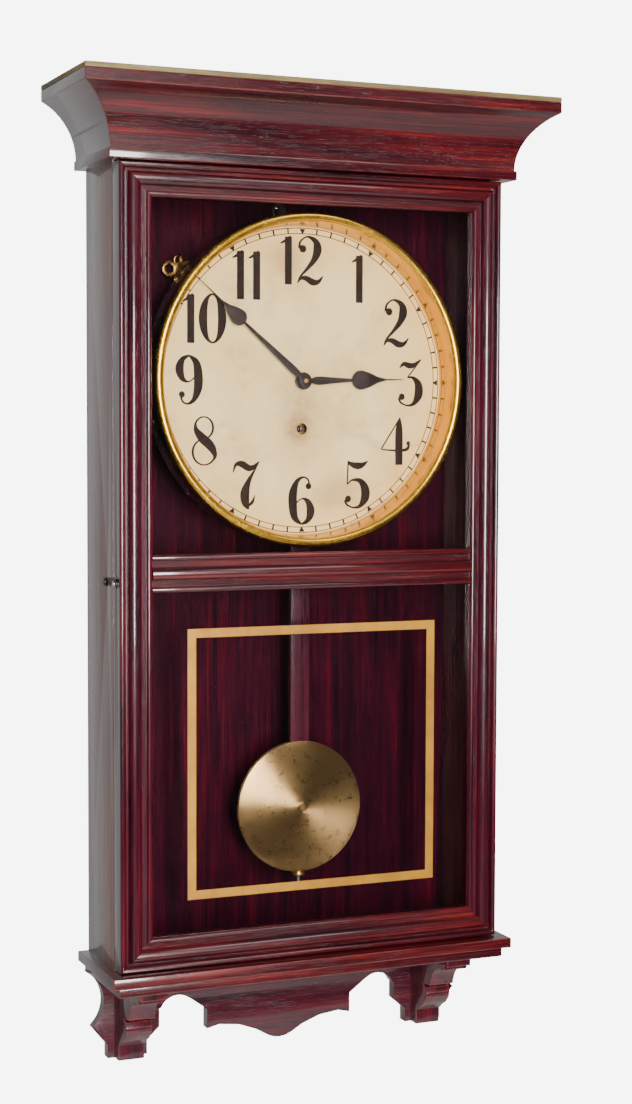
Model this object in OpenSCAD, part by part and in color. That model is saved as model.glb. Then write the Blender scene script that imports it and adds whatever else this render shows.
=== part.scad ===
// Pendulum wall clock with a twelve inch dial: case, door, dial, spring-driven movement and pendulum.
// +X is to the right of the dial, +Y goes into the wall, +Z is up.
// The origin is the centre of the wall hanger's hole, in the plane of the wall.

/* [Case] */
// Height of the case between the ledge and the neck board
case_h = 765; // [740:1:940]
// Depth of the case, wall to the front edges of the sides
case_d = 84.5; // [84:0.5:110]
// Thickness of the side boards
board_t = 14; // [10:0.5:18]
// Thickness of the back board
back_t = 8; // [6:0.5:9]
// Height of the hanger hole above the ledge
hang_z = 735; // [700:1:745]
// Radius of the hanger hole
hang_r = 4; // [3:0.5:6]

/* [Ledge and apron] */
// Thickness of the ledge
ledge_t = 10; // [8:0.5:14]
// How far the ledge and the neck board stand out past the case
ledge_over = 11; // [6:0.5:16]
// Thickness of the base board under the ledge
base_t = 10; // [8:0.5:14]
// How far the base board's edges are set back from the ledge
base_inset = 7; // [4:0.5:12]
// Thickness of the scroll-sawn apron board
apron_t = 12; // [9:0.5:16]
// Drop of the apron's feet below the base board
apron_drop = 88.5; // [80:0.5:110]
// Width of each corbel
corbel_w = 27; // [20:0.5:32]

/* [Cornice] */
// Thickness of the neck board
neck_t = 9; // [7:0.5:12]
// Height of the cove
cove_h = 55; // [45:1:70]
// How far the cove stands out from foot to top
cove_out = 34; // [26:0.5:40]
// Height of the fillet above the cove
fillet_h = 10.5; // [8:0.5:16]
// Thickness of the top board
top_t = 5; // [4:0.5:8]

/* [Door] */
// Width of the stiles, top rail and bottom rail
stile_w = 32; // [30:0.5:40]
// Width of the mid rail
mid_rail_w = 35.5; // [30:0.5:44]
// Thickness of the door over its main moulding
door_t = 23; // [21:0.5:28]
// Gap between the door and the case
door_gap = 1.5; // [1:0.1:2.5]
// Thickness of the glass
glass_t = 2.5; // [2:0.1:4]
// How far the glass reaches under the moulding
glass_lap = 6; // [4:0.5:7]

/* [Dial] */
// Outside diameter of the bezel
dial_d = 325; // [300:1:390]
// Gap between the bezel and the door's inner edge
dial_margin = 5.5; // [4:0.5:12]
// Depth of the dial behind the bezel's front
dial_depth = 31.5; // [26:0.5:32]
// Radius of the bezel's rolled rim
bezel_roll = 4.75; // [3.5:0.25:6]
// Thickness of the dial plate
dial_plate_t = 1.2; // [0.8:0.1:1.6]
// Hour hand length
hour_hand_l = 108; // [80:1:116]
// Minute hand length
minute_hand_l = 146; // [110:1:150]
// Hour hand angle, clockwise from twelve
hour_angle = 88.5; // [0:0.5:359]
// Minute hand angle, clockwise from twelve
minute_angle = 311; // [0:0.5:359]

/* [Movement] */
// Distance of the winding arbor below the hand arbor
winding_drop = 47; // [45:0.5:52]
// Module of the main wheel
main_module = 1; // [0.9:0.05:1.1]
// Width of the movement's plates
plate_w = 108; // [104:1:120]
// Thickness of the movement's plates
plate_t = 2; // [1.6:0.1:2.6]
// Distance between the movement's plates
plate_gap = 32; // [32:0.5:34]
// Radial clearance of each running fit
run_gap = 0.05; // [0.02:0.01:0.1]

/* [Pendulum] */
// Distance from the suspension axis to the middle of the bob
pendulum_l = 491; // [430:1:500]
// Diameter of the bob
bob_d = 131; // [100:1:140]
// Thickness of the bob
bob_t = 12; // [10:0.5:16]
// Width of the wooden rod
rod_w = 19.5; // [14:0.5:24]
// Thickness of the wooden rod
rod_t = 6; // [5:0.5:7]

/* [Hidden] */
e = 0.01;
window_w = dial_d + 2 * dial_margin;
case_w = window_w + 2 * stile_w;
upper_h = dial_d + 7.5;
door_z0 = 1;
door_z1 = case_h - 1;
upper_z1 = door_z1 - stile_w - 2;
upper_z0 = upper_z1 - upper_h;
lower_z1 = upper_z0 - mid_rail_w;
dial_z = (upper_z0 + upper_z1) / 2;

// Depths are measured from the wall towards the front
back_in = 2;
board_face = back_in + back_t;
door_back = case_d + door_gap;
door_front = case_d + door_gap + door_t;
lip_t = 2;
bead_drop = 5.5;
glass_front = door_front - bead_drop - lip_t;
glass_back = glass_front - glass_t;
strip_t = 6.5;
outer_bead_r = 3;
torus_r = 6.5;
torus_x = 15.5;
inner_bead_r = 2.7;
bezel_front = glass_back - 1;
dial_face = bezel_front - dial_depth;
dial_r = dial_d / 2;
paper_t = 0.3;
plate_back = dial_face - paper_t - dial_plate_t;
paper_r = dial_r - 10.7;
dial_plate_r = dial_r - 2.5;
dial_screw_r = dial_r - 6.7;
post_radial = 11;
post_wide = 16;
POST_ANGLES = [20, 160, 200, 340];

// Ledge, base and cornice
ledge_hw = case_w / 2 + ledge_over;
ledge_front = door_front + ledge_over;
base_hw = ledge_hw - base_inset;
base_front = ledge_front - base_inset;
apron_z1 = -ledge_t - base_t;
foot_drop = 88.5;
drop_scale = apron_drop / foot_drop;
arch_x = 79;
foot_x = case_w / 2 - 36.5;
neck_hw = case_w / 2 + 12;
neck_front = door_front + 6.5;
neck_z1 = case_h + neck_t;
cove_hw = neck_hw - 1.5;
cove_front = neck_front - 2.5;
cove_r = (cove_h * cove_h + cove_out * cove_out) / (2 * cove_out);
cove_z1 = neck_z1 + cove_h;
fillet_z1 = cove_z1 + fillet_h;
top_hw = cove_hw + cove_out;
top_front = cove_front + cove_out;
moulding_back = 10;

// Movement layers
foot_h = 7;
back_plate_0 = board_face + foot_h;
back_plate_1 = back_plate_0 + plate_t;
front_plate_0 = back_plate_1 + plate_gap;
front_plate_1 = front_plate_0 + plate_t;
shake = 0.3;
spring_0 = back_plate_1 + 1.5;
spring_w = 18;
main_0 = spring_0 + spring_w + 1.5;
main_t = 3;
ratchet_0 = main_0 + main_t + 0.3;
ratchet_t = 2;
centre_0 = main_0 + main_t + 1.2;
thin_t = 1.5;
second_0 = centre_0 + thin_t + 1.3;
third_0 = back_plate_1 + 7;
escape_0 = second_0 - 0.5;
cannon_0 = front_plate_1 + 1;
hour_0 = cannon_0 + thin_t + 0.7;

// Tooth counts of the going train and the motion work
main_z = 72;
second_pinion_z = 12;
second_z = 60;
centre_pinion_z = 12;
centre_z = 72;
third_pinion_z = 10;
third_z = 70;
escape_pinion_z = 10;
escape_z = 51;
cannon_z = 12;
minute_z = 36;
minute_pinion_z = 10;
hour_z = 40;
ratchet_z = 20;
second_module = 0.8;
centre_module = 0.6;
third_module = 0.55;
motion_module = 0.7;

// Arbor places as [x, z] from the hand arbor
function apart(m, a, b) = m * (a + b) / 2;
function round_at(r, a) = r * [cos(a), sin(a)];
function above(p, q, rp, rq, side) =
    let (d = norm(q - p), a = (rp * rp - rq * rq + d * d) / (2 * d))
    let (h = sqrt(rp * rp - a * a), u = (q - p) / d)
    p + a * u + side * h * [-u[1], u[0]];
function heading(p, q) = atan2(q[1] - p[1], q[0] - p[0]);
centre_at = [0, 0];
winding_at = [0, -winding_drop];
main_apart = apart(main_module, main_z, second_pinion_z);
second_apart = apart(second_module, second_z, centre_pinion_z);
third_apart = apart(centre_module, centre_z, third_pinion_z);
escape_apart = apart(third_module, third_z, escape_pinion_z);
motion_apart = apart(motion_module, cannon_z, minute_z);
hour_module = 2 * motion_apart / (minute_pinion_z + hour_z);
second_at = above(centre_at, winding_at, second_apart, main_apart, -1);
escape_at = [0, 43];
third_at = above(centre_at, escape_at, third_apart, escape_apart, -1);
minute_at = [motion_apart, 0];
escape_r = 18;
verge_at = [0, escape_at[1] + escape_r + 7];
pillar_x = plate_w / 2 - 8;
plate_top = verge_at[1] + 22;
plate_bottom = winding_at[1] - 47;
PILLARS = [for (x = [-pillar_x, pillar_x], z = [plate_top - 10, plate_bottom + 8]) [x, z]];
FEET = [[-pillar_x, 22], [pillar_x, 22], [-22, plate_bottom + 8], [22, plate_bottom + 8]];
pivot_r = 1;
centre_arbor_r = 2;
cannon_r = 2.7;
hour_pipe_r = 4;
winding_r = 3;
stud_r = 1.5;
hour_hand_at = dial_face + 4;
minute_hand_at = hour_hand_at + 4;
hand_t = 0.9;

// Pendulum
swing_y = (front_plate_1 + plate_back) / 2 + 1.5;
bob_z = verge_at[1] - pendulum_l;
leader_r = 1.2;
yoke_x = 15;
yoke_top = verge_at[1] - 46;
yoke_bottom = winding_at[1] - 25;
rod_top = yoke_bottom - 6;
nut_h = 4;
nut_r = 6.5;

// Door hardware
hinge_x = case_w / 2 + 2.9;
hinge_y = case_d + door_gap / 2;
knuckle_r = 2.6;
hinge_pin_r = 1.2;
leaf_t = 1.2;
leaf_w = 13;
hinge_h = 50;
hinge_zs = [120, case_h - 120];
hook_z = 371;
hook_pivot = case_d - 16.5;
hook_catch = door_back + 11;
hook_t = 1.8;
hook_screw_l = 8;
screw_r = 1.5;
head_r = 2.9;
hanger_w = 34;
hanger_h = 46;
key_at = [-112, 118];
key_y = board_face + 9;

WOOD = [0.32, 0.08, 0.06];
BRASS = [0.78, 0.62, 0.28];
STEEL = [0.55, 0.56, 0.58];
DARK = [0.12, 0.08, 0.07];

// ---- helpers ----

// Moves heights measured from the ledge into the frame of the hanger hole
module from_ledge(z = 0) {
    translate([0, 0, z - hang_z]) children();
}

// Moves heights measured from the hand arbor into the frame of the hanger hole
module from_dial() {
    from_ledge(dial_z) children();
}

// A round rod between two depths, at [x, z]
module rod_y(r, near, far, at = [0, 0]) {
    translate([at[0], -near, at[1]]) rotate([90, 0, 0]) cylinder(r = r, h = far - near, $fn = 48);
}

// A round rod along X from a place given as [x, depth, z]
module rod_x(r, length, at) {
    translate([at[0], -at[1], at[2]]) rotate([0, 90, 0]) cylinder(r = r, h = length, $fn = 48);
}

// A flat shape between two depths, drawn as seen from the front, at [x, z]
module slab_y(near, far, at = [0, 0]) {
    translate([at[0], -near, at[1]]) rotate([90, 0, 0]) linear_extrude(far - near) children();
}

// A board between two corners given as [x, depth, z]
module board(low, high) {
    translate([low[0], -high[1], low[2]]) cube([high[0] - low[0], high[1] - low[1], high[2] - low[2]]);
}

// A countersunk wood screw along Y: its head's face at a depth, its shank towards the wall
module wood_screw(face, length, at) {
    rod_y(screw_r, face - length, face - 1, at);
    rod_y(head_r, face - 1, face, at);
}

// Outline of a toothed wheel, with one tooth centred on an angle
module gear(z, m, turn, addendum = 0.75, dedendum = 1.25) {
    pitch_r = m * z / 2;
    flank = [
        [pitch_r - dedendum * m, -0.27], [pitch_r, -0.205], [pitch_r + addendum * m, -0.09],
        [pitch_r + addendum * m, 0.09], [pitch_r, 0.205], [pitch_r - dedendum * m, 0.27]
    ];
    polygon([for (i = [0 : z - 1], p = flank) round_at(p[0], turn + (i + p[1]) * 360 / z)]);
}

// Wheel with a ring of round crossings cut out of its web
module wheel(z, m, turn, bore, holes = 5) {
    pitch_r = m * z / 2;
    hole_r = pitch_r * 0.2;
    difference() {
        gear(z, m, turn);
        circle(r = bore, $fn = 48);
        for (i = [0 : holes - 1])
            rotate(i * 360 / holes) translate([pitch_r * 0.55, 0]) circle(r = hole_r, $fn = 32);
    }
}

// An arbor between the plates: a thick body with a fine pivot through each plate
module arbor(r, at) {
    rod_y(r, back_plate_1 + shake, front_plate_0 - shake, at);
    rod_y(pivot_r, back_plate_0 - 0.5, front_plate_1 + 0.5, at);
}

module rounded(w, h, r) {
    square([w - 2 * r, h], center = true);
    square([w, h - 2 * r], center = true);
    for (x = [-1, 1], y = [-1, 1])
        translate([x * (w / 2 - r), y * (h / 2 - r)]) circle(r = r, $fn = 32);
}

// ---- case ----

// One side board, with a rebate for the back board and mortises for the hinge leaves
module case_side(s) {
    x0 = s > 0 ? case_w / 2 - board_t : -case_w / 2;
    difference() {
        board([x0, 0, 0], [x0 + board_t, case_d, case_h]);
        board([s > 0 ? x0 - e : x0 + board_t / 2, -e, -e],
              [s > 0 ? x0 + board_t / 2 : x0 + board_t + e, board_face, case_h + e]);
        if (s > 0)
            for (z = hinge_zs)
                board([case_w / 2 - leaf_w, case_d - leaf_t, z - hinge_h / 2],
                      [case_w / 2 + e, case_d + e, z + hinge_h / 2]);
        if (s > 0)
            for (z = hinge_zs, k = [-1, 1])
                rod_y(screw_r, case_d - 12, case_d, [case_w / 2 - leaf_w / 2, z + k * 17]);
        if (s < 0)
            rod_x(screw_r, hook_screw_l + e, [x0 - e, hook_pivot, hook_z]);
    }
}

module side_left() {
    color(WOOD) from_ledge() case_side(-1);
}

module side_right() {
    color(WOOD) from_ledge() case_side(1);
}

// Back board with the recess for the hanger, its clearance hole and the screw holes
module back_board() {
    half = case_w / 2 - board_t / 2;
    color(WOOD) from_ledge() difference() {
        board([-half, back_in, 0], [half, board_face, case_h]);
        rod_y(hang_r + 5, back_in - e, board_face + e, [0, hang_z]);
        for (x = [-1, 1])
            rod_y(screw_r, back_in - e, back_in + 6, [x * hanger_w * 0.36, hang_z]);
        for (at = FEET)
            rod_y(screw_r, board_face - 6, board_face + e, [at[0], dial_z + at[1]]);
        rod_y(1.2, board_face - 5, board_face + e, [key_at[0], dial_z + key_at[1]]);
    }
}

// Ledge that the case stands on, standing out all round
module ledge() {
    color(WOOD) from_ledge() board([-ledge_hw, 0, -ledge_t], [ledge_hw, ledge_front, 0]);
}

module base_board() {
    color(WOOD) from_ledge() board([-base_hw, 0, apron_z1], [base_hw, base_front, -ledge_t]);
}

// Points given as [across, drop], with the drops scaled to the apron's own
function dropped(points) = [for (p = points) [p[0], -p[1] * drop_scale]];

// Half of the apron's outline, from the middle out, with a foot, a scroll and a centre drop
module apron_half() {
    foot = foot_x;
    difference() {
        polygon(dropped([
            [0, 0], [foot + 41, 0], [foot + 41, 1], [foot + 36.1, 56], [foot + 22, 73.5], [foot + 20.5, 74],
            [foot + 20.5, foot_drop], [foot - 20.5, foot_drop], [foot - 20.5, 74], [foot - 33.5, 62.5],
            [foot - 33.5, 44], [85, 47.5], [arch_x, 50.5], [arch_x, 70.5], [66, 67.5], [45, 70], [26, 77],
            [13, 84.5], [7, 87], [0, 88]
        ]));
        translate([foot + 58.8, -30.1 * drop_scale]) circle(r = 34.4 * drop_scale, $fn = 96);
    }
}

// The hollow between a foot and the centre drop
module apron_arch() {
    foot = foot_x;
    translate([foot - 53, -52 * drop_scale]) circle(r = 19.5, $fn = 64);
    polygon(dropped([
        [foot - 53, 33], [foot - 66, 37], [arch_x, 50.5], [arch_x, foot_drop], [foot - 33.5, foot_drop],
        [foot - 33.5, 52]
    ]));
}

module apron_board() {
    color(WOOD) from_ledge(apron_z1) slab_y(0, apron_t)
        for (side = [0, 1])
            mirror([side, 0]) difference() {
                apron_half();
                intersection() {
                    apron_arch();
                    translate([arch_x + 0.2, -apron_drop - 1])
                        square([foot_x - 20.7 - arch_x, apron_drop]);
                }
            }
}

// Side view of a corbel as [distance from the apron, height]: two steps, a hollow, a scroll and a foot
module corbel_profile() {
    reach = 84;
    d = (base_front - apron_t - 16) / (reach + 0.8);
    side = [
        [0, 0], [reach, 0], [reach, 11], [76, 11], [76, 16], [64, 16], [46, 35], [46, 39], [30, 41], [35, 44],
        [38, 49], [37, 55], [30, 63], [20, 69], [17, 72], [13, 73], [13, foot_drop], [0, foot_drop]
    ];
    difference() {
        polygon(dropped([for (p = side) [p[0] * d, p[1]]]));
        translate([71 * d, -41 * drop_scale]) circle(r = 25 * min(d, drop_scale), $fn = 64);
    }
}

module corbels() {
    color(WOOD) from_ledge(apron_z1)
        for (side = [-1, 1])
            translate([side * foot_x - corbel_w / 2, -apron_t, 0])
                rotate([90, 0, -90]) mirror([1, 0, 0]) translate([0, 0, -corbel_w])
                    mirror([1, 0, 0]) linear_extrude(corbel_w) corbel_profile();
}

// ---- cornice ----

module neck_board() {
    color(WOOD) from_ledge() board([-neck_hw, 0, case_h], [neck_hw, neck_front, neck_z1]);
}

// Section of the crown moulding as [distance out from the cove's foot, height]
module crown_profile() {
    difference() {
        polygon([
            [-moulding_back, neck_z1], [0, neck_z1], [cove_out, cove_z1], [cove_out, fillet_z1],
            [cove_out - 22, fillet_z1], [-moulding_back, neck_z1 + 28]
        ]);
        translate([cove_r, neck_z1]) circle(r = cove_r, $fn = 96);
    }
}

// Plan of one run of the crown moulding, cut to its mitres
module crown_plan(part) {
    k = 60;
    if (part == "front")
        polygon([
            [-top_hw, -top_front], [top_hw, -top_front], [top_hw - k, -top_front + k],
            [-top_hw + k, -top_front + k]
        ]);
    else
        polygon([[-top_hw, -top_front], [-top_hw + k, -top_front + k], [-top_hw + k, 0], [-top_hw, 0]]);
}

module cornice_front() {
    color(WOOD) from_ledge() intersection() {
        translate([-top_hw, -cove_front, 0]) rotate([90, 0, 90]) linear_extrude(2 * top_hw)
            mirror([1, 0]) crown_profile();
        translate([0, 0, neck_z1 - 1]) linear_extrude(cove_h + fillet_h + 2) crown_plan("front");
    }
}

module crown_side() {
    intersection() {
        translate([-cove_hw, 0, 0]) rotate([90, 0, 0]) linear_extrude(top_front)
            mirror([1, 0]) crown_profile();
        translate([0, 0, neck_z1 - 1]) linear_extrude(cove_h + fillet_h + 2) crown_plan("side");
    }
}

module cornice_left() {
    color(WOOD) from_ledge() crown_side();
}

module cornice_right() {
    color(WOOD) from_ledge() mirror([1, 0, 0]) crown_side();
}

module cornice_top() {
    color([0.62, 0.5, 0.25]) from_ledge()
        board([-top_hw, 0, fillet_z1], [top_hw, top_front, fillet_z1 + top_t]);
}

// ---- hanger and screws ----

// Steel plate let in flush with the wall side of the back board
module wall_hanger() {
    color(STEEL) slab_y(0, back_in) difference() {
        rounded(hanger_w, hanger_h, 5);
        circle(r = hang_r, $fn = 64);
        for (x = [-1, 1]) translate([x * hanger_w * 0.36, 0]) circle(r = screw_r, $fn = 48);
    }
}

module wood_screws() {
    color(STEEL) {
        // Through the hanger, from the wall side
        for (x = [-1, 1])
            rod_y(screw_r, 0, back_in + 6, [x * hanger_w * 0.36, 0]);
        from_dial() {
            for (at = FEET)
                wood_screw(back_plate_1 + 1, back_plate_1 + 1 - board_face + 6, at);
            for (a = POST_ANGLES)
                wood_screw(dial_face - paper_t + 1, 12, round_at(dial_screw_r, a));
        }
        from_ledge() for (z = hinge_zs, k = [-1, 1])
            rod_y(screw_r, case_d - 12, case_d, [case_w / 2 - leaf_w / 2, z + k * 17]);
    }
}

// ---- door ----

// Section across a stile or rail: across from its outer edge, then out from the wall.
// Outer bead, hollow, main torus, groove and inner bead, with a rebate behind for the glass.
module door_section() {
    base = door_front - 9.5;
    floor_y = door_front - bead_drop;
    difference() {
        union() {
            translate([0, door_back]) square([stile_w, base - door_back]);
            translate([0, base - e]) square([2 * outer_bead_r, 4.5]);
            translate([outer_bead_r, base + 4.5 - e]) circle(r = outer_bead_r, $fn = 48);
            translate([torus_x - torus_r, base - e]) square([2 * torus_r, 9.5 - torus_r]);
            translate([torus_x, door_front - torus_r]) circle(r = torus_r, $fn = 64);
            translate([torus_x, base - e]) square([stile_w - torus_x, floor_y - base]);
            translate([stile_w - inner_bead_r, floor_y + 0.8]) circle(r = inner_bead_r, $fn = 48);
        }
        translate([stile_w - glass_lap - 0.5, door_back - 1])
            square([glass_lap + 1, glass_front - door_back + 1]);
    }
}

// Plan of the mitred frame: which = 0 left, 1 bottom, 2 right, 3 top
module frame_plan(which) {
    w = case_w / 2;
    z0 = door_z0;
    z1 = door_z1;
    k = stile_w;
    corners = [[-w, z0], [w, z0], [w, z1], [-w, z1]];
    inner = [[-w + k, z0 + k], [w - k, z0 + k], [w - k, z1 - k], [-w + k, z1 - k]];
    if (which == 0) polygon([corners[0], corners[3], inner[3], inner[0]]);
    if (which == 1) polygon([corners[0], corners[1], inner[1], inner[0]]);
    if (which == 2) polygon([corners[1], corners[2], inner[2], inner[1]]);
    if (which == 3) polygon([corners[2], corners[3], inner[3], inner[2]]);
}

module door_upright() {
    intersection() {
        translate([-case_w / 2, 0, door_z0]) linear_extrude(door_z1 - door_z0) mirror([0, 1]) door_section();
        slab_y(0, door_front + 1) frame_plan(0);
    }
}

module door_level() {
    intersection() {
        translate([-case_w / 2, 0, door_z0]) rotate([90, 0, 90]) linear_extrude(case_w)
            rotate(90) door_section();
        slab_y(0, door_front + 1) frame_plan(1);
    }
}

module door_stile_left() {
    color(WOOD) from_ledge() difference() {
        door_upright();
        rod_x(screw_r, hook_screw_l + e, [-case_w / 2 - e, hook_catch, hook_z]);
    }
}

module door_stile_right() {
    color(WOOD) from_ledge() difference() {
        mirror([1, 0, 0]) door_upright();
        for (z = hinge_zs) {
            board([case_w / 2 - leaf_w, door_back - e, z - hinge_h / 2],
                  [case_w / 2 + e, door_back + leaf_t, z + hinge_h / 2]);
            for (k = [-1, 1])
                rod_y(screw_r, door_back, door_back + 8, [case_w / 2 - leaf_w / 2, z + k * 17]);
        }
    }
}

module door_rail_bottom() {
    color(WOOD) from_ledge() door_level();
}

module door_rail_top() {
    color(WOOD) from_ledge() translate([0, 0, door_z0 + door_z1]) mirror([0, 0, 1]) door_level();
}

// Mid rail: a bead along each edge and a broad torus between, butted to the stiles
module door_rail_mid() {
    base = door_front - 9.5;
    floor_y = door_front - bead_drop;
    reach = window_w / 2;
    color(WOOD) from_ledge() translate([-reach, 0, lower_z1]) rotate([90, 0, 90]) linear_extrude(2 * reach)
        mirror([1, 0]) difference() {
            union() {
                translate([door_back, 0]) square([floor_y - door_back, mid_rail_w]);
                for (z = [inner_bead_r, mid_rail_w - inner_bead_r])
                    translate([floor_y + 0.8, z]) circle(r = inner_bead_r, $fn = 48);
                translate([base - e, mid_rail_w / 2 - torus_r]) square([9.5 - torus_r, 2 * torus_r]);
                translate([door_front - torus_r, mid_rail_w / 2]) circle(r = torus_r, $fn = 64);
            }
            for (z = [-1, mid_rail_w - glass_lap - 0.5])
                translate([door_back - 1, z]) square([glass_front - door_back + 1, glass_lap + 1.5]);
        }
}

// A pane between two heights, with a lap under the moulding all round
module pane(z0, z1) {
    x = window_w / 2 + glass_lap;
    board([-x, glass_back, z0 - glass_lap], [x, glass_front, z1 + glass_lap]);
}

module glass_upper() {
    color([0.8, 0.9, 0.95, 0.3]) from_ledge() pane(upper_z0, door_z1 - stile_w);
}

module glass_lower() {
    color([0.8, 0.9, 0.95, 0.3]) from_ledge() pane(door_z0 + stile_w, lower_z1);
}

// Strips that hold one pane in its rebate, butted at the corners with a hairline joint
module strips(z0, z1) {
    x = window_w / 2;
    lap = glass_lap;
    joint = 0.2;
    for (s = [-1, 1])
        board([s > 0 ? x : -x - lap, glass_back - strip_t, z0 - lap],
              [s > 0 ? x + lap : -x, glass_back, z1 + lap]);
    for (z = [z0 - lap, z1])
        board([-x + joint, glass_back - strip_t, z], [x - joint, glass_back, z + lap]);
}

module glazing_strips() {
    color(DARK) from_ledge() {
        strips(upper_z0, door_z1 - stile_w);
        strips(door_z0 + stile_w, lower_z1);
    }
}

// ---- hinges and hook ----

// One leaf with its knuckles: side = 1 on the case, -1 on the door
module leaf(z, side) {
    near = side > 0 ? case_d - leaf_t : door_back;
    third = hinge_h / 3;
    knuckle_h = third - 0.2;
    bore = hinge_pin_r + (side > 0 ? 0 : run_gap);
    difference() {
        union() {
            board([case_w / 2 - leaf_w, near, z - hinge_h / 2], [case_w / 2, near + leaf_t, z + hinge_h / 2]);
            for (i = side > 0 ? [-1, 1] : [0]) {
                z0 = z + (i - 0.5) * third + 0.1;
                board([case_w / 2 - e, near, z0], [hinge_x - 1.4, near + leaf_t, z0 + knuckle_h]);
                translate([hinge_x, -hinge_y, z0]) cylinder(r = knuckle_r, h = knuckle_h, $fn = 48);
            }
        }
        translate([hinge_x, -hinge_y, z - hinge_h]) cylinder(r = bore, h = 2 * hinge_h, $fn = 48);
        for (k = [-1, 1])
            rod_y(screw_r, near - e, near + leaf_t + e, [case_w / 2 - leaf_w / 2, z + k * 17]);
    }
}

module hinge_case_leaves() {
    color(BRASS) from_ledge() for (z = hinge_zs) leaf(z, 1);
}

module hinge_door_leaves() {
    color(BRASS) from_ledge() for (z = hinge_zs) leaf(z, -1);
}

module hinge_pins() {
    color(STEEL) from_ledge() for (z = hinge_zs)
        translate([hinge_x, -hinge_y, z - hinge_h / 2 - 1.5]) {
            cylinder(r = hinge_pin_r, h = hinge_h + 3, $fn = 48);
            for (end = [0, hinge_h + 1.6])
                translate([0, 0, end]) cylinder(r = 2, h = 1.4, $fn = 48);
        }
}

// Screws of the door's hinge leaves, and the round-headed screw that the hook drops over
module door_screws() {
    color(STEEL) from_ledge() {
        for (z = hinge_zs, k = [-1, 1])
            rod_y(screw_r, door_back, door_back + 8, [case_w / 2 - leaf_w / 2, z + k * 17]);
        rod_x(screw_r, hook_screw_l + 3.2, [-case_w / 2 - 3.2, hook_catch, hook_z]);
        rod_x(head_r, 1, [-case_w / 2 - 4.2, hook_catch, hook_z]);
    }
}

// Flat hook as seen from the left: eye round its screw, arm, and a nose turned down over the catch
module door_hook() {
    reach = hook_catch - hook_pivot;
    color(DARK) from_ledge(hook_z) translate([-case_w / 2 - 0.4 - hook_t, -hook_pivot, 0])
        rotate([90, 0, 90]) linear_extrude(hook_t) mirror([1, 0]) difference() {
            union() {
                circle(r = 4.2, $fn = 48);
                translate([0, -0.4]) square([reach + 2.5, 4]);
                translate([reach, 0]) circle(r = 4.6, $fn = 48);
            }
            circle(r = screw_r + run_gap, $fn = 48);
            translate([reach, 0]) circle(r = screw_r + 0.4, $fn = 48);
            translate([reach - screw_r - 0.4, -8]) square([2 * screw_r + 0.8, 8]);
            translate([reach - 6.5, -8]) square([5, 7.6]);
        }
}

module hook_screw() {
    color(STEEL) from_ledge() {
        rod_x(screw_r, hook_screw_l + 3, [-case_w / 2 - 3, hook_pivot, hook_z]);
        rod_x(head_r + 0.6, 1.2, [-case_w / 2 - 4, hook_pivot, hook_z]);
    }
}

// ---- dial ----

// Four wooden posts that carry the dial plate
module dial_posts() {
    color(WOOD) from_dial() for (a = POST_ANGLES)
        difference() {
            slab_y(board_face, plate_back) rotate(a)
                translate([dial_screw_r - post_radial / 2, -post_wide / 2]) square([post_radial, post_wide]);
            rod_y(screw_r, plate_back - 12, plate_back + e, round_at(dial_screw_r, a));
        }
}

module dial_holes() {
    circle(r = hour_pipe_r + 2, $fn = 48);
    translate(winding_at) circle(r = winding_r + 2.6, $fn = 48);
}

module dial_plate() {
    color([0.6, 0.6, 0.58]) from_dial() slab_y(plate_back, plate_back + dial_plate_t) difference() {
        circle(r = dial_plate_r, $fn = 128);
        dial_holes();
        for (a = POST_ANGLES) translate(round_at(dial_screw_r, a)) circle(r = screw_r, $fn = 48);
    }
}

module dial_paper() {
    color([0.9, 0.86, 0.74]) from_dial() slab_y(dial_face - paper_t, dial_face) difference() {
        circle(r = paper_r, $fn = 128);
        dial_holes();
    }
}

// Spun brass ring: a lip on the paper, a slightly flared wall and a rolled rim, open behind
module bezel() {
    roll_x = dial_r - bezel_roll;
    roll_y = bezel_front - bezel_roll;
    wall = 0.9;
    foot = paper_r - 0.8;
    color(BRASS) from_dial() rotate([90, 0, 0]) rotate_extrude($fn = 128) {
        difference() {
            translate([roll_x, roll_y]) circle(r = bezel_roll, $fn = 64);
            translate([roll_x, roll_y]) circle(r = bezel_roll - wall, $fn = 64);
            translate([roll_x - 8, roll_y - 12]) square([16, 12]);
        }
        polygon([
            [foot, dial_face], [foot + wall, dial_face],
            [roll_x - bezel_roll + wall, roll_y], [roll_x - bezel_roll, roll_y]
        ]);
        translate([dial_r - wall, plate_back]) square([wall, roll_y - plate_back]);
    }
}

// ---- movement ----

module plate_outline() {
    translate([0, (plate_top + plate_bottom) / 2]) rounded(plate_w, plate_top - plate_bottom, 9);
}

module plate_windows() {
    translate([34, -26]) rounded(22, 46, 8);
    translate([-30, 36]) rounded(26, 38, 9);
    translate([33, 48]) rounded(20, 36, 8);
}

module movement_back_plate() {
    color(BRASS) from_dial() difference() {
        slab_y(back_plate_0, back_plate_1) difference() {
            plate_outline();
            plate_windows();
            translate(winding_at) circle(r = winding_r - 1 + run_gap, $fn = 48);
            for (at = [second_at, centre_at, third_at, escape_at, verge_at])
                translate(at) circle(r = pivot_r + run_gap, $fn = 48);
            for (at = PILLARS) translate(at) circle(r = 2.5, $fn = 48);
            for (at = FEET) translate(at) circle(r = screw_r, $fn = 48);
        }
    }
}

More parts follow.
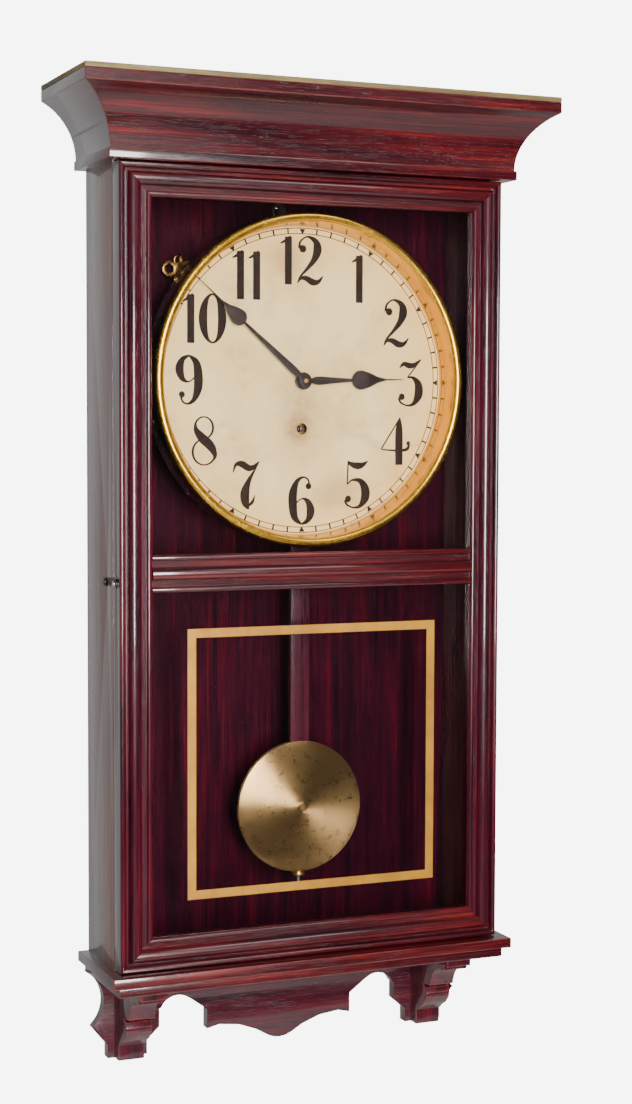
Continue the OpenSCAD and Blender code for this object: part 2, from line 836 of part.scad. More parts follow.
module movement_front_plate() {
    color(BRASS) from_dial() slab_y(front_plate_0, front_plate_1) difference() {
        plate_outline();
        plate_windows();
        translate(winding_at) circle(r = winding_r + run_gap, $fn = 48);
        translate(centre_at) circle(r = centre_arbor_r + run_gap, $fn = 48);
        translate(verge_at) circle(r = 1.5 + run_gap, $fn = 48);
        for (at = [second_at, third_at, escape_at]) translate(at) circle(r = pivot_r + run_gap, $fn = 48);
        for (at = PILLARS) translate(at) circle(r = 2.5, $fn = 48);
        translate(minute_at) circle(r = stud_r, $fn = 48);
    }
}

// Turned pillars with a shouldered end through each plate, and the minute wheel's stud
module movement_pillars() {
    color(STEEL) from_dial() {
        for (at = PILLARS) {
            rod_y(4, back_plate_1, front_plate_0, at);
            rod_y(2.5, back_plate_0 - 1, front_plate_1 + 1.5, at);
        }
        rod_y(stud_r, front_plate_0, hour_0 + thin_t + 1, minute_at);
    }
}

module movement_feet() {
    color(BRASS) from_dial() for (at = FEET) difference() {
        rod_y(4.5, board_face, back_plate_0, at);
        rod_y(screw_r, board_face - e, back_plate_0 + e, at);
    }
}

// Open mainspring, half let down: a ribbon from the arbor out to its hooked end
module mainspring() {
    turns = 9;
    steps = 20;
    r0 = 5.2;
    r1 = 31;
    ribbon = 0.6;
    function at_turn(i) = let (t = i / steps) (r0 + (r1 - r0) * t / turns) * [cos(360 * t), sin(360 * t)];
    inside = [for (i = [0 : turns * steps]) at_turn(i)];
    outside = [for (i = [turns * steps : -1 : 0]) at_turn(i) * (1 + ribbon / norm(at_turn(i)))];
    color(STEEL) from_dial() {
        slab_y(spring_0, spring_0 + spring_w, winding_at) polygon(concat(inside, outside));
        slab_y(spring_0, spring_0 + spring_w, winding_at)
            translate([r1 - 0.5, -ribbon * 0.5]) square([4, ribbon * 1.5]);
    }
}

module main_wheel() {
    turn = heading(winding_at, second_at);
    color(BRASS) from_dial() difference() {
        slab_y(main_0, main_0 + main_t, winding_at) wheel(main_z, main_module, turn, winding_r + run_gap, 6);
        rod_y(1.5, main_0 - e, main_0 + main_t + e, winding_at + [0, 15]);
    }
}

// Arbor with the ratchet wheel fixed on it and a square end for the key
module winding_arbor() {
    color(STEEL) from_dial() {
        rod_y(winding_r - 1, back_plate_0 - 0.5, back_plate_1 + shake, winding_at);
        rod_y(4.2, back_plate_1 + shake, main_0 - shake, winding_at);
        rod_y(winding_r, main_0 - shake, plate_back - 2, winding_at);
        slab_y(plate_back - 2, dial_face + 1, winding_at) square(4.2, center = true);
        slab_y(ratchet_0, ratchet_0 + ratchet_t, winding_at)
            polygon([for (i = [0 : ratchet_z - 1], p = [[7.6, 0], [9.2, 0.9]])
                round_at(p[0], (i + p[1]) * 360 / ratchet_z)]);
        rod_y(4.4, ratchet_0 + ratchet_t - e, front_plate_0 - 1, winding_at);
    }
}

// Click that holds the ratchet wheel, on its rivet in the main wheel
module click() {
    color(STEEL) from_dial() {
        rod_y(1.5 - run_gap, main_0 - 0.3, ratchet_0 + ratchet_t + 0.5, winding_at + [0, 15]);
        slab_y(ratchet_0, ratchet_0 + ratchet_t, winding_at) {
            translate([0, 15]) circle(r = 3, $fn = 48);
            polygon([[-2.6, 13.6], [2.6, 13.2], [6.2, 10.2], [6.0, 7.9], [4.2, 9.4], [0.5, 11.6]]);
        }
    }
}

module second_wheel() {
    turn = heading(second_at, winding_at) + 180 / second_pinion_z;
    color(BRASS) from_dial() {
        arbor(1.8, second_at);
        slab_y(main_0 - 1, main_0 + main_t + 0.5, second_at) gear(second_pinion_z, main_module, turn, 0.7);
        slab_y(second_0, second_0 + thin_t, second_at)
            wheel(second_z, second_module, heading(second_at, centre_at), 1.7);
    }
}

// Centre arbor with its pinion and wheel; it carries the cannon pinion and the minute hand
module centre_wheel() {
    turn = heading(centre_at, second_at) + 180 / centre_pinion_z;
    color(BRASS) from_dial() {
        rod_y(pivot_r, back_plate_0 - 0.5, back_plate_1 + shake, centre_at);
        rod_y(2.4, back_plate_1 + shake, front_plate_0 - shake, centre_at);
        rod_y(centre_arbor_r, front_plate_0 - shake - e, minute_hand_at + hand_t + 2.2, centre_at);
        slab_y(centre_0, centre_0 + thin_t, centre_at)
            wheel(centre_z, centre_module, heading(centre_at, third_at), 2.3);
        slab_y(second_0 - 0.8, second_0 + thin_t + 0.8, centre_at)
            gear(centre_pinion_z, second_module, turn, 0.7);
    }
}

module third_wheel() {
    turn = heading(third_at, centre_at) + 180 / third_pinion_z;
    color(BRASS) from_dial() {
        arbor(1.4, third_at);
        slab_y(centre_0 - 0.6, centre_0 + thin_t + 0.6, third_at)
            gear(third_pinion_z, centre_module, turn, 0.7);
        slab_y(third_0, third_0 + 1.2, third_at)
            wheel(third_z, third_module, heading(third_at, escape_at), 1.3);
    }
}

// Escape wheel with raked pointed teeth
module escape_wheel() {
    turn = heading(escape_at, third_at) + 180 / escape_pinion_z;
    root = escape_r - 2.4;
    tooth = [[root, 0], [escape_r, 0.42], [escape_r, 0.5], [root, 0.62]];
    color(BRASS) from_dial() {
        arbor(1.4, escape_at);
        slab_y(third_0 - 1, third_0 + 2.2, escape_at) gear(escape_pinion_z, third_module, turn, 0.7);
        slab_y(escape_0, escape_0 + 1.2, escape_at) difference() {
            polygon([for (i = [0 : escape_z - 1], p = tooth) round_at(p[0], (i + p[1]) * 360 / escape_z)]);
            for (i = [0 : 3]) rotate(i * 90) translate([8.5, 0]) circle(r = 4, $fn = 32);
        }
    }
}

// Verge: bent strip over the escape wheel on its arbor, with the crutch in front of the plate
module verge() {
    lift = 1.15;
    span = 30;
    tip = escape_r + lift;
    v = verge_at[1] - escape_at[1];
    crutch_z = verge_at[1] - 32;
    crutch_y = front_plate_1 + 3.2;
    prong_x = leader_r + 0.35 + 0.8;
    color(STEEL) from_dial() {
        rod_y(pivot_r, back_plate_0 - 0.5, back_plate_1 + shake, verge_at);
        rod_y(1.5, back_plate_1 + shake - e, crutch_y + 0.9, verge_at);
        slab_y(escape_0 - 1, escape_0 + 2.2, escape_at) difference() {
            polygon([
                tip * [-sin(span), cos(span)], (tip + 1) * [-sin(span + 5), cos(span + 5)],
                [-13.5, v - 5], [-9.5, v + 1], [-3, v + 3.5], [3, v + 3.5], [9.5, v + 1], [13.5, v - 5],
                (tip + 1) * [sin(span + 5), cos(span + 5)], tip * [sin(span), cos(span)],
                [8.6, v - 4.6], [5, v - 3], [0, v - 2.4], [-5, v - 3], [-8.6, v - 4.6]
            ]);
            circle(r = escape_r + 1.1, $fn = 96);
        }
        // Crutch: a wire down from the arbor, ending in two prongs round the pendulum's leader
        translate([0, -crutch_y, crutch_z]) cylinder(r = 0.9, h = verge_at[1] - crutch_z, $fn = 32);
        translate([-prong_x - 0.8, -crutch_y - 0.8, crutch_z - 0.8]) cube([2 * prong_x + 1.6, 1.6, 1.6]);
        for (s = [-1, 1])
            rod_y(0.8, crutch_y, swing_y + 2.6, [s * prong_x, crutch_z]);
    }
}

// ---- motion work and hands ----

module cannon_pinion() {
    color(BRASS) from_dial() difference() {
        union() {
            slab_y(cannon_0, cannon_0 + thin_t, centre_at) gear(cannon_z, motion_module, 0, 0.7);
            rod_y(cannon_r, cannon_0 + thin_t - e, minute_hand_at, centre_at);
        }
        rod_y(centre_arbor_r, cannon_0 - 1, minute_hand_at + 1, centre_at);
    }
}

module minute_wheel() {
    color(BRASS) from_dial() difference() {
        union() {
            slab_y(cannon_0, cannon_0 + thin_t, minute_at)
                gear(minute_z, motion_module, 180 + 180 / minute_z);
            slab_y(cannon_0 + thin_t - e, hour_0 + thin_t, minute_at)
                gear(minute_pinion_z, hour_module, 180, 0.7);
        }
        rod_y(stud_r + run_gap, cannon_0 - 1, hour_0 + thin_t + 1, minute_at);
    }
}

module hour_wheel() {
    color(BRASS) from_dial() difference() {
        union() {
            slab_y(hour_0, hour_0 + thin_t, centre_at) gear(hour_z, hour_module, 180 / hour_z);
            rod_y(hour_pipe_r, hour_0 + thin_t - e, hour_hand_at + hand_t + 0.6, centre_at);
        }
        rod_y(cannon_r + run_gap, hour_0 - 1, minute_hand_at, centre_at);
    }
}

// Spade hand pointing up, from its depth towards the front: boss, tapered arm, spade and fine point
module spade_hand(near, turn, length, boss, bore, bulb_at, bulb_r, arm) {
    tip_w = 0.7;
    arm_side = [
        [arm * 1.1, 0], [arm * 1.1, boss], [arm * 1.7, boss + 4], [arm * 1.9, boss + 9],
        [arm * 1.25, bulb_at * 0.55], [arm * 0.6, bulb_at - bulb_r * 0.7]
    ];
    leaf_side = [
        [bulb_r * 0.97, bulb_at + bulb_r * 0.25], [bulb_r * 0.72, bulb_at + bulb_r * 1.05],
        [bulb_r * 0.32, bulb_at + bulb_r * 1.9], [tip_w, bulb_at + bulb_r * 2.9], [tip_w * 0.4, length]
    ];
    translate([0, -near, 0]) rotate([90, -turn, 0]) difference() {
        union() {
            cylinder(r = boss, h = hand_t, $fn = 48);
            linear_extrude(hand_t) both_sides(arm_side);
            translate([0, bulb_at]) cylinder(r = bulb_r, h = hand_t, $fn = 64);
            linear_extrude(hand_t) both_sides(leaf_side);
        }
        translate([0, 0, -1]) cylinder(r = bore, h = hand_t + 2, $fn = 48);
    }
}

// Closed outline from the points of its right side, mirrored across the middle
module both_sides(right) {
    n = len(right);
    polygon(concat(right, [for (i = [n - 1 : -1 : 0]) [-right[i][0], right[i][1]]]));
}

module hour_hand() {
    color(DARK) from_dial()
        spade_hand(hour_hand_at, -hour_angle, hour_hand_l, 8.5, hour_pipe_r, 62, 9.5, 2.2);
}

module minute_hand() {
    color(DARK) from_dial()
        spade_hand(minute_hand_at, -minute_angle, minute_hand_l, 7, centre_arbor_r, 92, 8, 1.9);
}

module hand_nut() {
    color(BRASS) from_dial() difference() {
        union() {
            rod_y(4.2, minute_hand_at + hand_t, minute_hand_at + hand_t + 0.8);
            rod_y(3.2, minute_hand_at + hand_t + 0.8 - e, minute_hand_at + hand_t + 1.8);
        }
        rod_y(centre_arbor_r, minute_hand_at, minute_hand_at + 6);
    }
}

// ---- pendulum ----

// Post riveted to the front plate, slit to take the suspension spring
module suspension_post() {
    z0 = verge_at[1] + 9;
    color(BRASS) from_dial() difference() {
        board([-4, front_plate_1, z0], [4, swing_y + 3.5, z0 + 8]);
        board([-1.45, swing_y - 3.6, z0 - 1], [1.45, swing_y + 4, z0 + 9]);
    }
}

module suspension_spring() {
    color(STEEL) from_dial()
        board([-0.1, swing_y - 3, verge_at[1] - 7], [0.1, swing_y + 3, verge_at[1] + 16]);
}

// Brass leader: a block that clips the spring, a neck, and a yoke that passes the two arbors
module pendulum_leader() {
    top = verge_at[1];
    color(BRASS) from_dial() {
        difference() {
            board([-3.5, swing_y - 3, top - 14], [3.5, swing_y + 3, top - 5]);
            board([-0.1, swing_y - 3 - e, top - 7], [0.1, swing_y + 3 + e, top - 5 + e]);
        }
        translate([0, -swing_y, yoke_top]) cylinder(r = leader_r, h = top - 14 - yoke_top + e, $fn = 32);
        for (z = [yoke_top, yoke_bottom])
            rod_x(leader_r, 2 * yoke_x, [-yoke_x, swing_y, z]);
        for (s = [-1, 1])
            translate([s * yoke_x, -swing_y, yoke_bottom]) {
                cylinder(r = leader_r, h = yoke_top - yoke_bottom, $fn = 32);
                sphere(r = leader_r, $fn = 32);
                translate([0, 0, yoke_top - yoke_bottom]) sphere(r = leader_r, $fn = 32);
            }
        translate([0, -swing_y, rod_top - 10])
            cylinder(r = leader_r, h = yoke_bottom - rod_top + 10, $fn = 32);
    }
}

module pendulum_rod() {
    color(WOOD) from_dial() difference() {
        board([-rod_w / 2, swing_y - rod_t / 2, bob_z - 20], [rod_w / 2, swing_y + rod_t / 2, rod_top]);
        translate([0, -swing_y, rod_top - 10]) cylinder(r = leader_r, h = 12, $fn = 32);
        translate([0, -swing_y, bob_z - 21]) cylinder(r = 1.5, h = 13, $fn = 32);
    }
}

// Disc bob: flat behind, gently domed in front, with a channel for the rod and its screw
module pendulum_bob() {
    r = bob_d / 2;
    rim = 5;
    dome = bob_t - rim;
    dome_r = (r * r + dome * dome) / (2 * dome);
    back = swing_y - 0.8;
    slide = 0.25;
    color(BRASS) from_dial() difference() {
        translate([0, -back, bob_z]) rotate([90, 0, 0]) rotate_extrude($fn = 128) intersection() {
            square([r, bob_t]);
            translate([0, bob_t - dome_r]) circle(r = dome_r, $fn = 360);
        }
        board([-rod_w / 2 - slide, swing_y - rod_t / 2 - slide, bob_z - 21],
              [rod_w / 2 + slide, swing_y + rod_t / 2 + slide, bob_z + r + 1]);
        translate([0, -swing_y, bob_z - r - 1]) cylinder(r = 1.8, h = r, $fn = 32);
    }
}

module rating_screw() {
    color(STEEL) from_dial() translate([0, -swing_y, bob_z - bob_d / 2 - 15])
        cylinder(r = 1.5, h = bob_d / 2 + 15 - 8, $fn = 32);
}

module rating_nut() {
    z0 = bob_z - bob_d / 2 - nut_h - 0.3;
    color(BRASS) from_dial() translate([0, -swing_y, z0]) difference() {
        union() {
            cylinder(r = nut_r, h = nut_h - 1.2, $fn = 48);
            translate([0, 0, nut_h - 1.2 - e]) cylinder(r = nut_r - 1.6, h = 1.2, $fn = 48);
        }
        translate([0, 0, -1]) cylinder(r = 1.5 + run_gap, h = nut_h + 2, $fn = 48);
    }
}

// ---- key ----

module key_hook() {
    color(BRASS) from_dial() {
        rod_y(1.2, board_face - 5, key_y + 5, key_at);
        translate([key_at[0], -key_y - 5, key_at[1]]) sphere(r = 1.2, $fn = 32);
        translate([key_at[0], -key_y - 5, key_at[1]]) cylinder(r = 1.2, h = 6, $fn = 32);
        rod_y(2.6, board_face, board_face + 1.2, key_at);
    }
}

// Winged key hanging by the eye in its bow, square barrel down
module winding_key() {
    color(BRASS) from_dial() {
        slab_y(key_y - 1.3, key_y + 1.3, key_at) difference() {
            union() {
                circle(r = 5, $fn = 48);
                for (s = [-1, 1]) translate([s * 8.5, -9]) circle(r = 8, $fn = 48);
                translate([-5, -20]) square([10, 16]);
            }
            circle(r = 2.2, $fn = 48);
            for (s = [-1, 1]) translate([s * 9, -9]) circle(r = 4, $fn = 48);
        }
        difference() {
            translate([key_at[0], -key_y, key_at[1] - 48]) cylinder(r = 4.2, h = 29, $fn = 48);
            translate([key_at[0] - 2.2, -key_y - 2.2, key_at[1] - 49]) cube([4.4, 4.4, 15]);
        }
    }
}

side_left();
side_right();
back_board();
ledge();
base_board();
apron_board();
corbels();
neck_board();
cornice_front();
cornice_left();
cornice_right();
cornice_top();
wall_hanger();
wood_screws();
door_stile_left();
door_stile_right();
door_rail_top();
door_rail_mid();
door_rail_bottom();
glass_upper();
glass_lower();
glazing_strips();
hinge_case_leaves();
hinge_door_leaves();
hinge_pins();
door_screws();
door_hook();
hook_screw();
dial_posts();
dial_plate();
dial_paper();
bezel();
movement_back_plate();
movement_front_plate();
movement_pillars();
movement_feet();
mainspring();
main_wheel();
winding_arbor();
click();
second_wheel();
centre_wheel();
third_wheel();
escape_wheel();
verge();
cannon_pinion();
minute_wheel();
hour_wheel();
hour_hand();
minute_hand();
hand_nut();
suspension_post();
suspension_spring();
pendulum_leader();
pendulum_rod();
pendulum_bob();
rating_screw();
rating_nut();
key_hook();
winding_key();
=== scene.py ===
"""A store regulator: a pendulum wall clock in a dark red mahogany case, dressed for its portrait.

The solids of the clock come from the frame. This script planes their edges, prints the dial, gilds the
border of the lower glass and gives every piece its finish. Lengths are in metres; the dial faces -Y.
"""

import logging
import math
from dataclasses import dataclass, field
from enum import Enum
from typing import Callable, ClassVar, Iterable, Sequence

import bmesh
import bpy
from mathutils import Matrix, Vector


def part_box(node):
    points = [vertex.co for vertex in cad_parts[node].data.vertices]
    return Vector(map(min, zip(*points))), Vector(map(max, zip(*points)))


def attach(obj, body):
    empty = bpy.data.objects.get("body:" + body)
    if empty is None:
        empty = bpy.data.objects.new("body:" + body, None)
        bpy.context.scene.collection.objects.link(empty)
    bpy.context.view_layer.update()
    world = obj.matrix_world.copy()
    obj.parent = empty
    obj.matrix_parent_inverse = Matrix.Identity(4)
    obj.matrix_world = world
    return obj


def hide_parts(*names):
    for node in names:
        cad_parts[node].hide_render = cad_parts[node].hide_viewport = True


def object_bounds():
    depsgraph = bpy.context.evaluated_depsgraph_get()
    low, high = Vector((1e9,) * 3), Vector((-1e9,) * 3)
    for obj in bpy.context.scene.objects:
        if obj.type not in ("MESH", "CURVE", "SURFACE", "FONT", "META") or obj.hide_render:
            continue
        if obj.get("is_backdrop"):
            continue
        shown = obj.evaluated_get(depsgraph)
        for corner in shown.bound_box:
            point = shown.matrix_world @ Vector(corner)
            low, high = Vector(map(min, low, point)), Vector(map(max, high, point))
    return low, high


log = logging.getLogger("clock")
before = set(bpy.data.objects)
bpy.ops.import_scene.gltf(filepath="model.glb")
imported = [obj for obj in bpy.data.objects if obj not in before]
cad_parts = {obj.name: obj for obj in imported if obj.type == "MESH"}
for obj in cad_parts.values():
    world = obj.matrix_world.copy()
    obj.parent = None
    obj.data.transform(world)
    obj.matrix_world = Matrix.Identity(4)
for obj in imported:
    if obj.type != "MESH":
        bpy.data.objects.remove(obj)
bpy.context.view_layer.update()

MM = 0.001
Colour = tuple[float, float, float]
Triple = tuple[float, float, float]
Point = tuple[float, float]


class Grain(Enum):
    """The way the grain of a board runs, as the turn that brings it onto Z."""

    UPRIGHT = (0.0, 0.0, 0.0)
    LEVEL = (0.0, math.pi / 2, 0.0)
    DEEP = (math.pi / 2, 0.0, 0.0)


# ---- node trees ----


class Graph:
    """Adds and joins the nodes of one shader or geometry tree."""

    def __init__(self, tree: bpy.types.NodeTree) -> None:
        """Keeps the tree.

        Args:
            tree: The shader or geometry tree to work in.
        """
        self.tree = tree

    def add(self, kind: str, **settings: object) -> bpy.types.Node:
        """Makes a node.

        Args:
            kind: The node's type, such as ShaderNodeMath.
            settings: Properties to set on it.

        Returns:
            The new node.
        """
        node = self.tree.nodes.new(kind)
        for name, value in settings.items():
            setattr(node, name, value)
        return node

    def feed(self, target: bpy.types.NodeSocket, value: object) -> None:
        """Links a socket, or sets its value.

        Args:
            target: The input.
            value: An output to link, or a plain value.
        """
        if isinstance(value, bpy.types.NodeSocket):
            self.tree.links.new(value, target)
        elif isinstance(value, tuple) and len(value) == 3 and target.type == "RGBA":
            target.default_value = (*value, 1.0)
        else:
            target.default_value = value

    def math(self, operation: str, *values: object, clamp: bool = False) -> bpy.types.NodeSocket:
        """Makes a Math node.

        Args:
            operation: Its operation, such as MULTIPLY.
            values: Its inputs, as outputs or numbers.
            clamp: Whether the result is kept between 0 and 1.

        Returns:
            The result.
        """
        node = self.add("ShaderNodeMath", operation=operation, use_clamp=clamp)
        for socket, value in zip(node.inputs, values):
            self.feed(socket, value)
        return node.outputs[0]

    def mix(self, factor: object, first: object, second: object, blend: str = "MIX") -> bpy.types.NodeSocket:
        """Mixes two colours.

        Args:
            factor: How much of the second.
            first: The first colour.
            second: The second colour.
            blend: The blend mode.

        Returns:
            The mixed colour.
        """
        node = self.add("ShaderNodeMix", data_type="RGBA", blend_type=blend)
        self.feed(node.inputs[0], factor)
        self.feed(node.inputs[6], first)
        self.feed(node.inputs[7], second)
        return node.outputs[2]

    def noise(
        self, vector: object, scale: float, detail: float = 3.0, rough: float = 0.55, warp: float = 0.0
    ) -> bpy.types.NodeSocket:
        """Makes a Noise texture.

        Args:
            vector: Where it is read.
            scale: Its scale, per metre.
            detail: Its octaves.
            rough: The strength of each finer octave.
            warp: Its distortion.

        Returns:
            The noise, about 0 to 1.
        """
        node = self.add("ShaderNodeTexNoise")
        self.feed(node.inputs["Vector"], vector)
        for name, value in (("Scale", scale), ("Detail", detail), ("Roughness", rough), ("Distortion", warp)):
            node.inputs[name].default_value = value
        return node.outputs[0]

    def spread(
        self, value: object, low: float, high: float, to_low: float = 0.0, to_high: float = 1.0
    ) -> bpy.types.NodeSocket:
        """Maps a range onto another, smoothly and clamped.

        Args:
            value: The value to map.
            low: The bottom of its range.
            high: The top of its range.
            to_low: What the bottom becomes.
            to_high: What the top becomes.

        Returns:
            The mapped value.
        """
        node = self.add("ShaderNodeMapRange", interpolation_type="SMOOTHSTEP")
        self.feed(node.inputs[0], value)
        for socket, number in zip(node.inputs[1:5], (low, high, to_low, to_high)):
            socket.default_value = number
        return node.outputs[0]

    def scaled(
        self, vector: object, by: Triple, turn: Triple = (0.0, 0.0, 0.0), shift: Triple = (0.0, 0.0, 0.0)
    ) -> bpy.types.NodeSocket:
        """Places and stretches a pattern.

        Args:
            vector: The coordinates.
            by: Their scale.
            turn: Their rotation.
            shift: Their offset.

        Returns:
            The mapped coordinates.
        """
        node = self.add("ShaderNodeMapping")
        self.feed(node.inputs["Vector"], vector)
        node.inputs["Location"].default_value = shift
        node.inputs["Rotation"].default_value = turn
        node.inputs["Scale"].default_value = by
        return node.outputs[0]


SOCKETS = {"vector": "NodeSocketVector", "colour": "NodeSocketColor", "value": "NodeSocketFloat"}


@dataclass(frozen=True)
class Effect:
    """A shader node group that several finishes share."""

    name: str
    inputs: tuple[tuple[str, str], ...]
    outputs: tuple[tuple[str, str], ...]
    fill: Callable[[Graph, bpy.types.Node, bpy.types.Node], None]

    def tree(self) -> bpy.types.NodeTree:
        """Builds the group, or finds it.

        Returns:
            The group's tree.
        """
        made = bpy.data.node_groups.get(self.name)
        if made:
            return made
        tree = bpy.data.node_groups.new(self.name, "ShaderNodeTree")
        for name, kind in self.inputs:
            tree.interface.new_socket(name=name, in_out="INPUT", socket_type=SOCKETS[kind])
        for name, kind in self.outputs:
            tree.interface.new_socket(name=name, in_out="OUTPUT", socket_type=SOCKETS[kind])
        graph = Graph(tree)
        self.fill(graph, graph.add("NodeGroupInput"), graph.add("NodeGroupOutput"))
        return tree

    def place(self, graph: Graph, **values: object) -> bpy.types.Node:
        """Puts the group into a material.

        Args:
            graph: The material's graph.
            values: The group's inputs by name, with _ for each space.

        Returns:
            The group node.
        """
        node = graph.add("ShaderNodeGroup", node_tree=self.tree())
        for name, value in values.items():
            graph.feed(node.inputs[name.replace("_", " ")], value)
        return node


def fill_figure(g: Graph, start: bpy.types.Node, end: bpy.types.Node) -> None:
    """Fills the group for stained, figured wood with its grain along Z.

    Args:
        g: The group's graph.
        start: The group's input node.
        end: The group's output node.
    """
    at = start.outputs["Vector"]
    bands = g.noise(g.scaled(at, (1.0, 1.0, 0.045)), 105.0, 5.0, 0.62, 0.35)
    fibres = g.noise(g.scaled(at, (1.0, 1.0, 0.022)), 520.0, 3.0, 0.6)
    pores = g.noise(g.scaled(at, (1.0, 1.0, 0.02)), 1900.0, 2.0, 0.5)
    clouds = g.noise(g.scaled(at, (1.0, 1.0, 0.4)), 11.0, 3.0, 0.5)
    ribbons = g.noise(g.scaled(at, (0.35, 0.35, 1.0)), 34.0, 2.0, 0.5, 1.2)
    streak = g.math("ADD", g.math("MULTIPLY", bands, 0.62), g.math("MULTIPLY", fibres, 0.38))
    deep = g.spread(streak, 0.34, 0.52)
    light = g.spread(streak, 0.49, 0.68)
    colour = g.mix(deep, start.outputs["Dark"], start.outputs["Mid"])
    pale = g.math("MULTIPLY", light, g.spread(clouds, 0.3, 0.65, 0.45, 1.0))
    colour = g.mix(pale, colour, start.outputs["Pale"])
    glow = g.math("MULTIPLY", g.spread(ribbons, 0.35, 0.7), 0.28)
    colour = g.mix(glow, colour, g.mix(1.0, colour, (1.35, 1.2, 1.15), "MULTIPLY"))
    line = g.spread(pores, 0.56, 0.66)
    colour = g.mix(g.math("MULTIPLY", line, 0.55), colour, g.mix(1.0, colour, (0.35, 0.32, 0.34), "MULTIPLY"))
    shade = g.spread(clouds, 0.25, 0.6, 0.3, 0.0)
    colour = g.mix(shade, colour, start.outputs["Dark"])
    g.feed(end.inputs["Colour"], colour)
    gloss = g.math("ADD", g.spread(clouds, 0.3, 0.7, 0.20, 0.32), g.math("MULTIPLY", fibres, 0.14))
    g.feed(end.inputs["Roughness"], gloss)
    height = g.math("SUBTRACT", g.math("MULTIPLY", fibres, 0.6), g.math("MULTIPLY", line, 0.5))
    g.feed(end.inputs["Height"], g.math("ADD", height, g.math("MULTIPLY", clouds, 0.9)))


def fill_wear(g: Graph, start: bpy.types.Node, end: bpy.types.Node) -> None:
    """Fills the group that rubs a finish off along its edges, in patches.

    Args:
        g: The group's graph.
        start: The group's input node.
        end: The group's output node.
    """
    at = start.outputs["Vector"]
    patches = g.spread(g.noise(at, 45.0, 4.0, 0.65), 0.42, 0.62)
    nicks = g.spread(g.noise(at, 380.0, 3.0, 0.6), 0.5, 0.72)
    worn = g.math("MULTIPLY", g.math("ADD", g.math("MULTIPLY", patches, 0.7), 0.3), start.outputs["Edge"])
    worn = g.math("ADD", worn, g.math("MULTIPLY", nicks, g.math("MULTIPLY", start.outputs["Edge"], 0.5)))
    g.feed(end.inputs["Mask"], g.math("MULTIPLY", worn, start.outputs["Amount"], clamp=True))


def fill_grime(g: Graph, start: bpy.types.Node, end: bpy.types.Node) -> None:
    """Fills the group for stains and dust in soft blotches with specks between them.

    Args:
        g: The group's graph.
        start: The group's input node.
        end: The group's output node.
    """
    at = start.outputs["Vector"]
    blotches = g.spread(g.noise(at, 22.0, 5.0, 0.6, 0.4), 0.46, 0.72)
    mottle = g.noise(at, 140.0, 4.0, 0.6)
    specks = g.spread(g.noise(at, 700.0, 2.0, 0.5), 0.7, 0.78)
    g.feed(end.inputs["Stain"], g.math("MULTIPLY", blotches, g.spread(mottle, 0.3, 0.65, 0.4, 1.0)))
    g.feed(end.inputs["Specks"], g.math("MULTIPLY", specks, start.outputs["Amount"], clamp=True))
    g.feed(end.inputs["Mottle"], mottle)


FIGURE = Effect(
    "figured_wood",
    (("Vector", "vector"), ("Dark", "colour"), ("Mid", "colour"), ("Pale", "colour")),
    (("Colour", "colour"), ("Roughness", "value"), ("Height", "value")),
    fill_figure,
)
WEAR = Effect(
    "rubbed_edges",
    (("Vector", "vector"), ("Edge", "value"), ("Amount", "value")),
    (("Mask", "value"),),
    fill_wear,
)
GRIME = Effect(
    "age_stains",
    (("Vector", "vector"), ("Amount", "value")),
    (("Stain", "value"), ("Specks", "value"), ("Mottle", "value")),
    fill_grime,
)


# ---- finishes ----


@dataclass(frozen=True)
class Finish:
    """A surface finish, built once as a material."""

    name: str
    built: ClassVar[dict[str, bpy.types.Material]] = {}

    def material(self) -> bpy.types.Material:
        """Builds the material, or finds it.

        Returns:
            The material.
        """
        if self.name in self.built:
            return self.built[self.name]
        made = bpy.data.materials.new(self.name)
        self.built[self.name] = made
        made.use_nodes = True
        graph = Graph(made.node_tree)
        shader = made.node_tree.nodes["Principled BSDF"]
        place = graph.add("ShaderNodeTexCoord").outputs["Object"]
        self.dress(graph, shader, place)
        return made

    def dress(self, g: Graph, shader: bpy.types.Node, at: bpy.types.NodeSocket) -> None:
        """Sets the shader of this finish.

        Args:
            g: The material's graph.
            shader: Its Principled node.
            at: Object coordinates.
        """
        raise NotImplementedError

    @staticmethod
    def bump(g: Graph, shader: bpy.types.Node, height: object, depth: float, strength: float = 0.6) -> None:
        """Feeds a height into the shader's normal.

        Args:
            g: The material's graph.
            shader: Its Principled node.
            height: The height, about 0 to 1.
            depth: What 1 stands for, in metres.
            strength: How much of it shows.
        """
        node = g.add("ShaderNodeBump")
        node.inputs["Strength"].default_value = strength
        node.inputs["Distance"].default_value = depth
        g.feed(node.inputs["Height"], height)
        g.feed(shader.inputs["Normal"], node.outputs["Normal"])

    @staticmethod
    def set(shader: bpy.types.Node, **values: float) -> None:
        """Sets plain numbers on the shader's own sockets.

        Args:
            shader: The Principled node.
            values: The values, by socket name with _ for each space.
        """
        for name, value in values.items():
            shader.inputs[name.replace("_", " ")].default_value = value


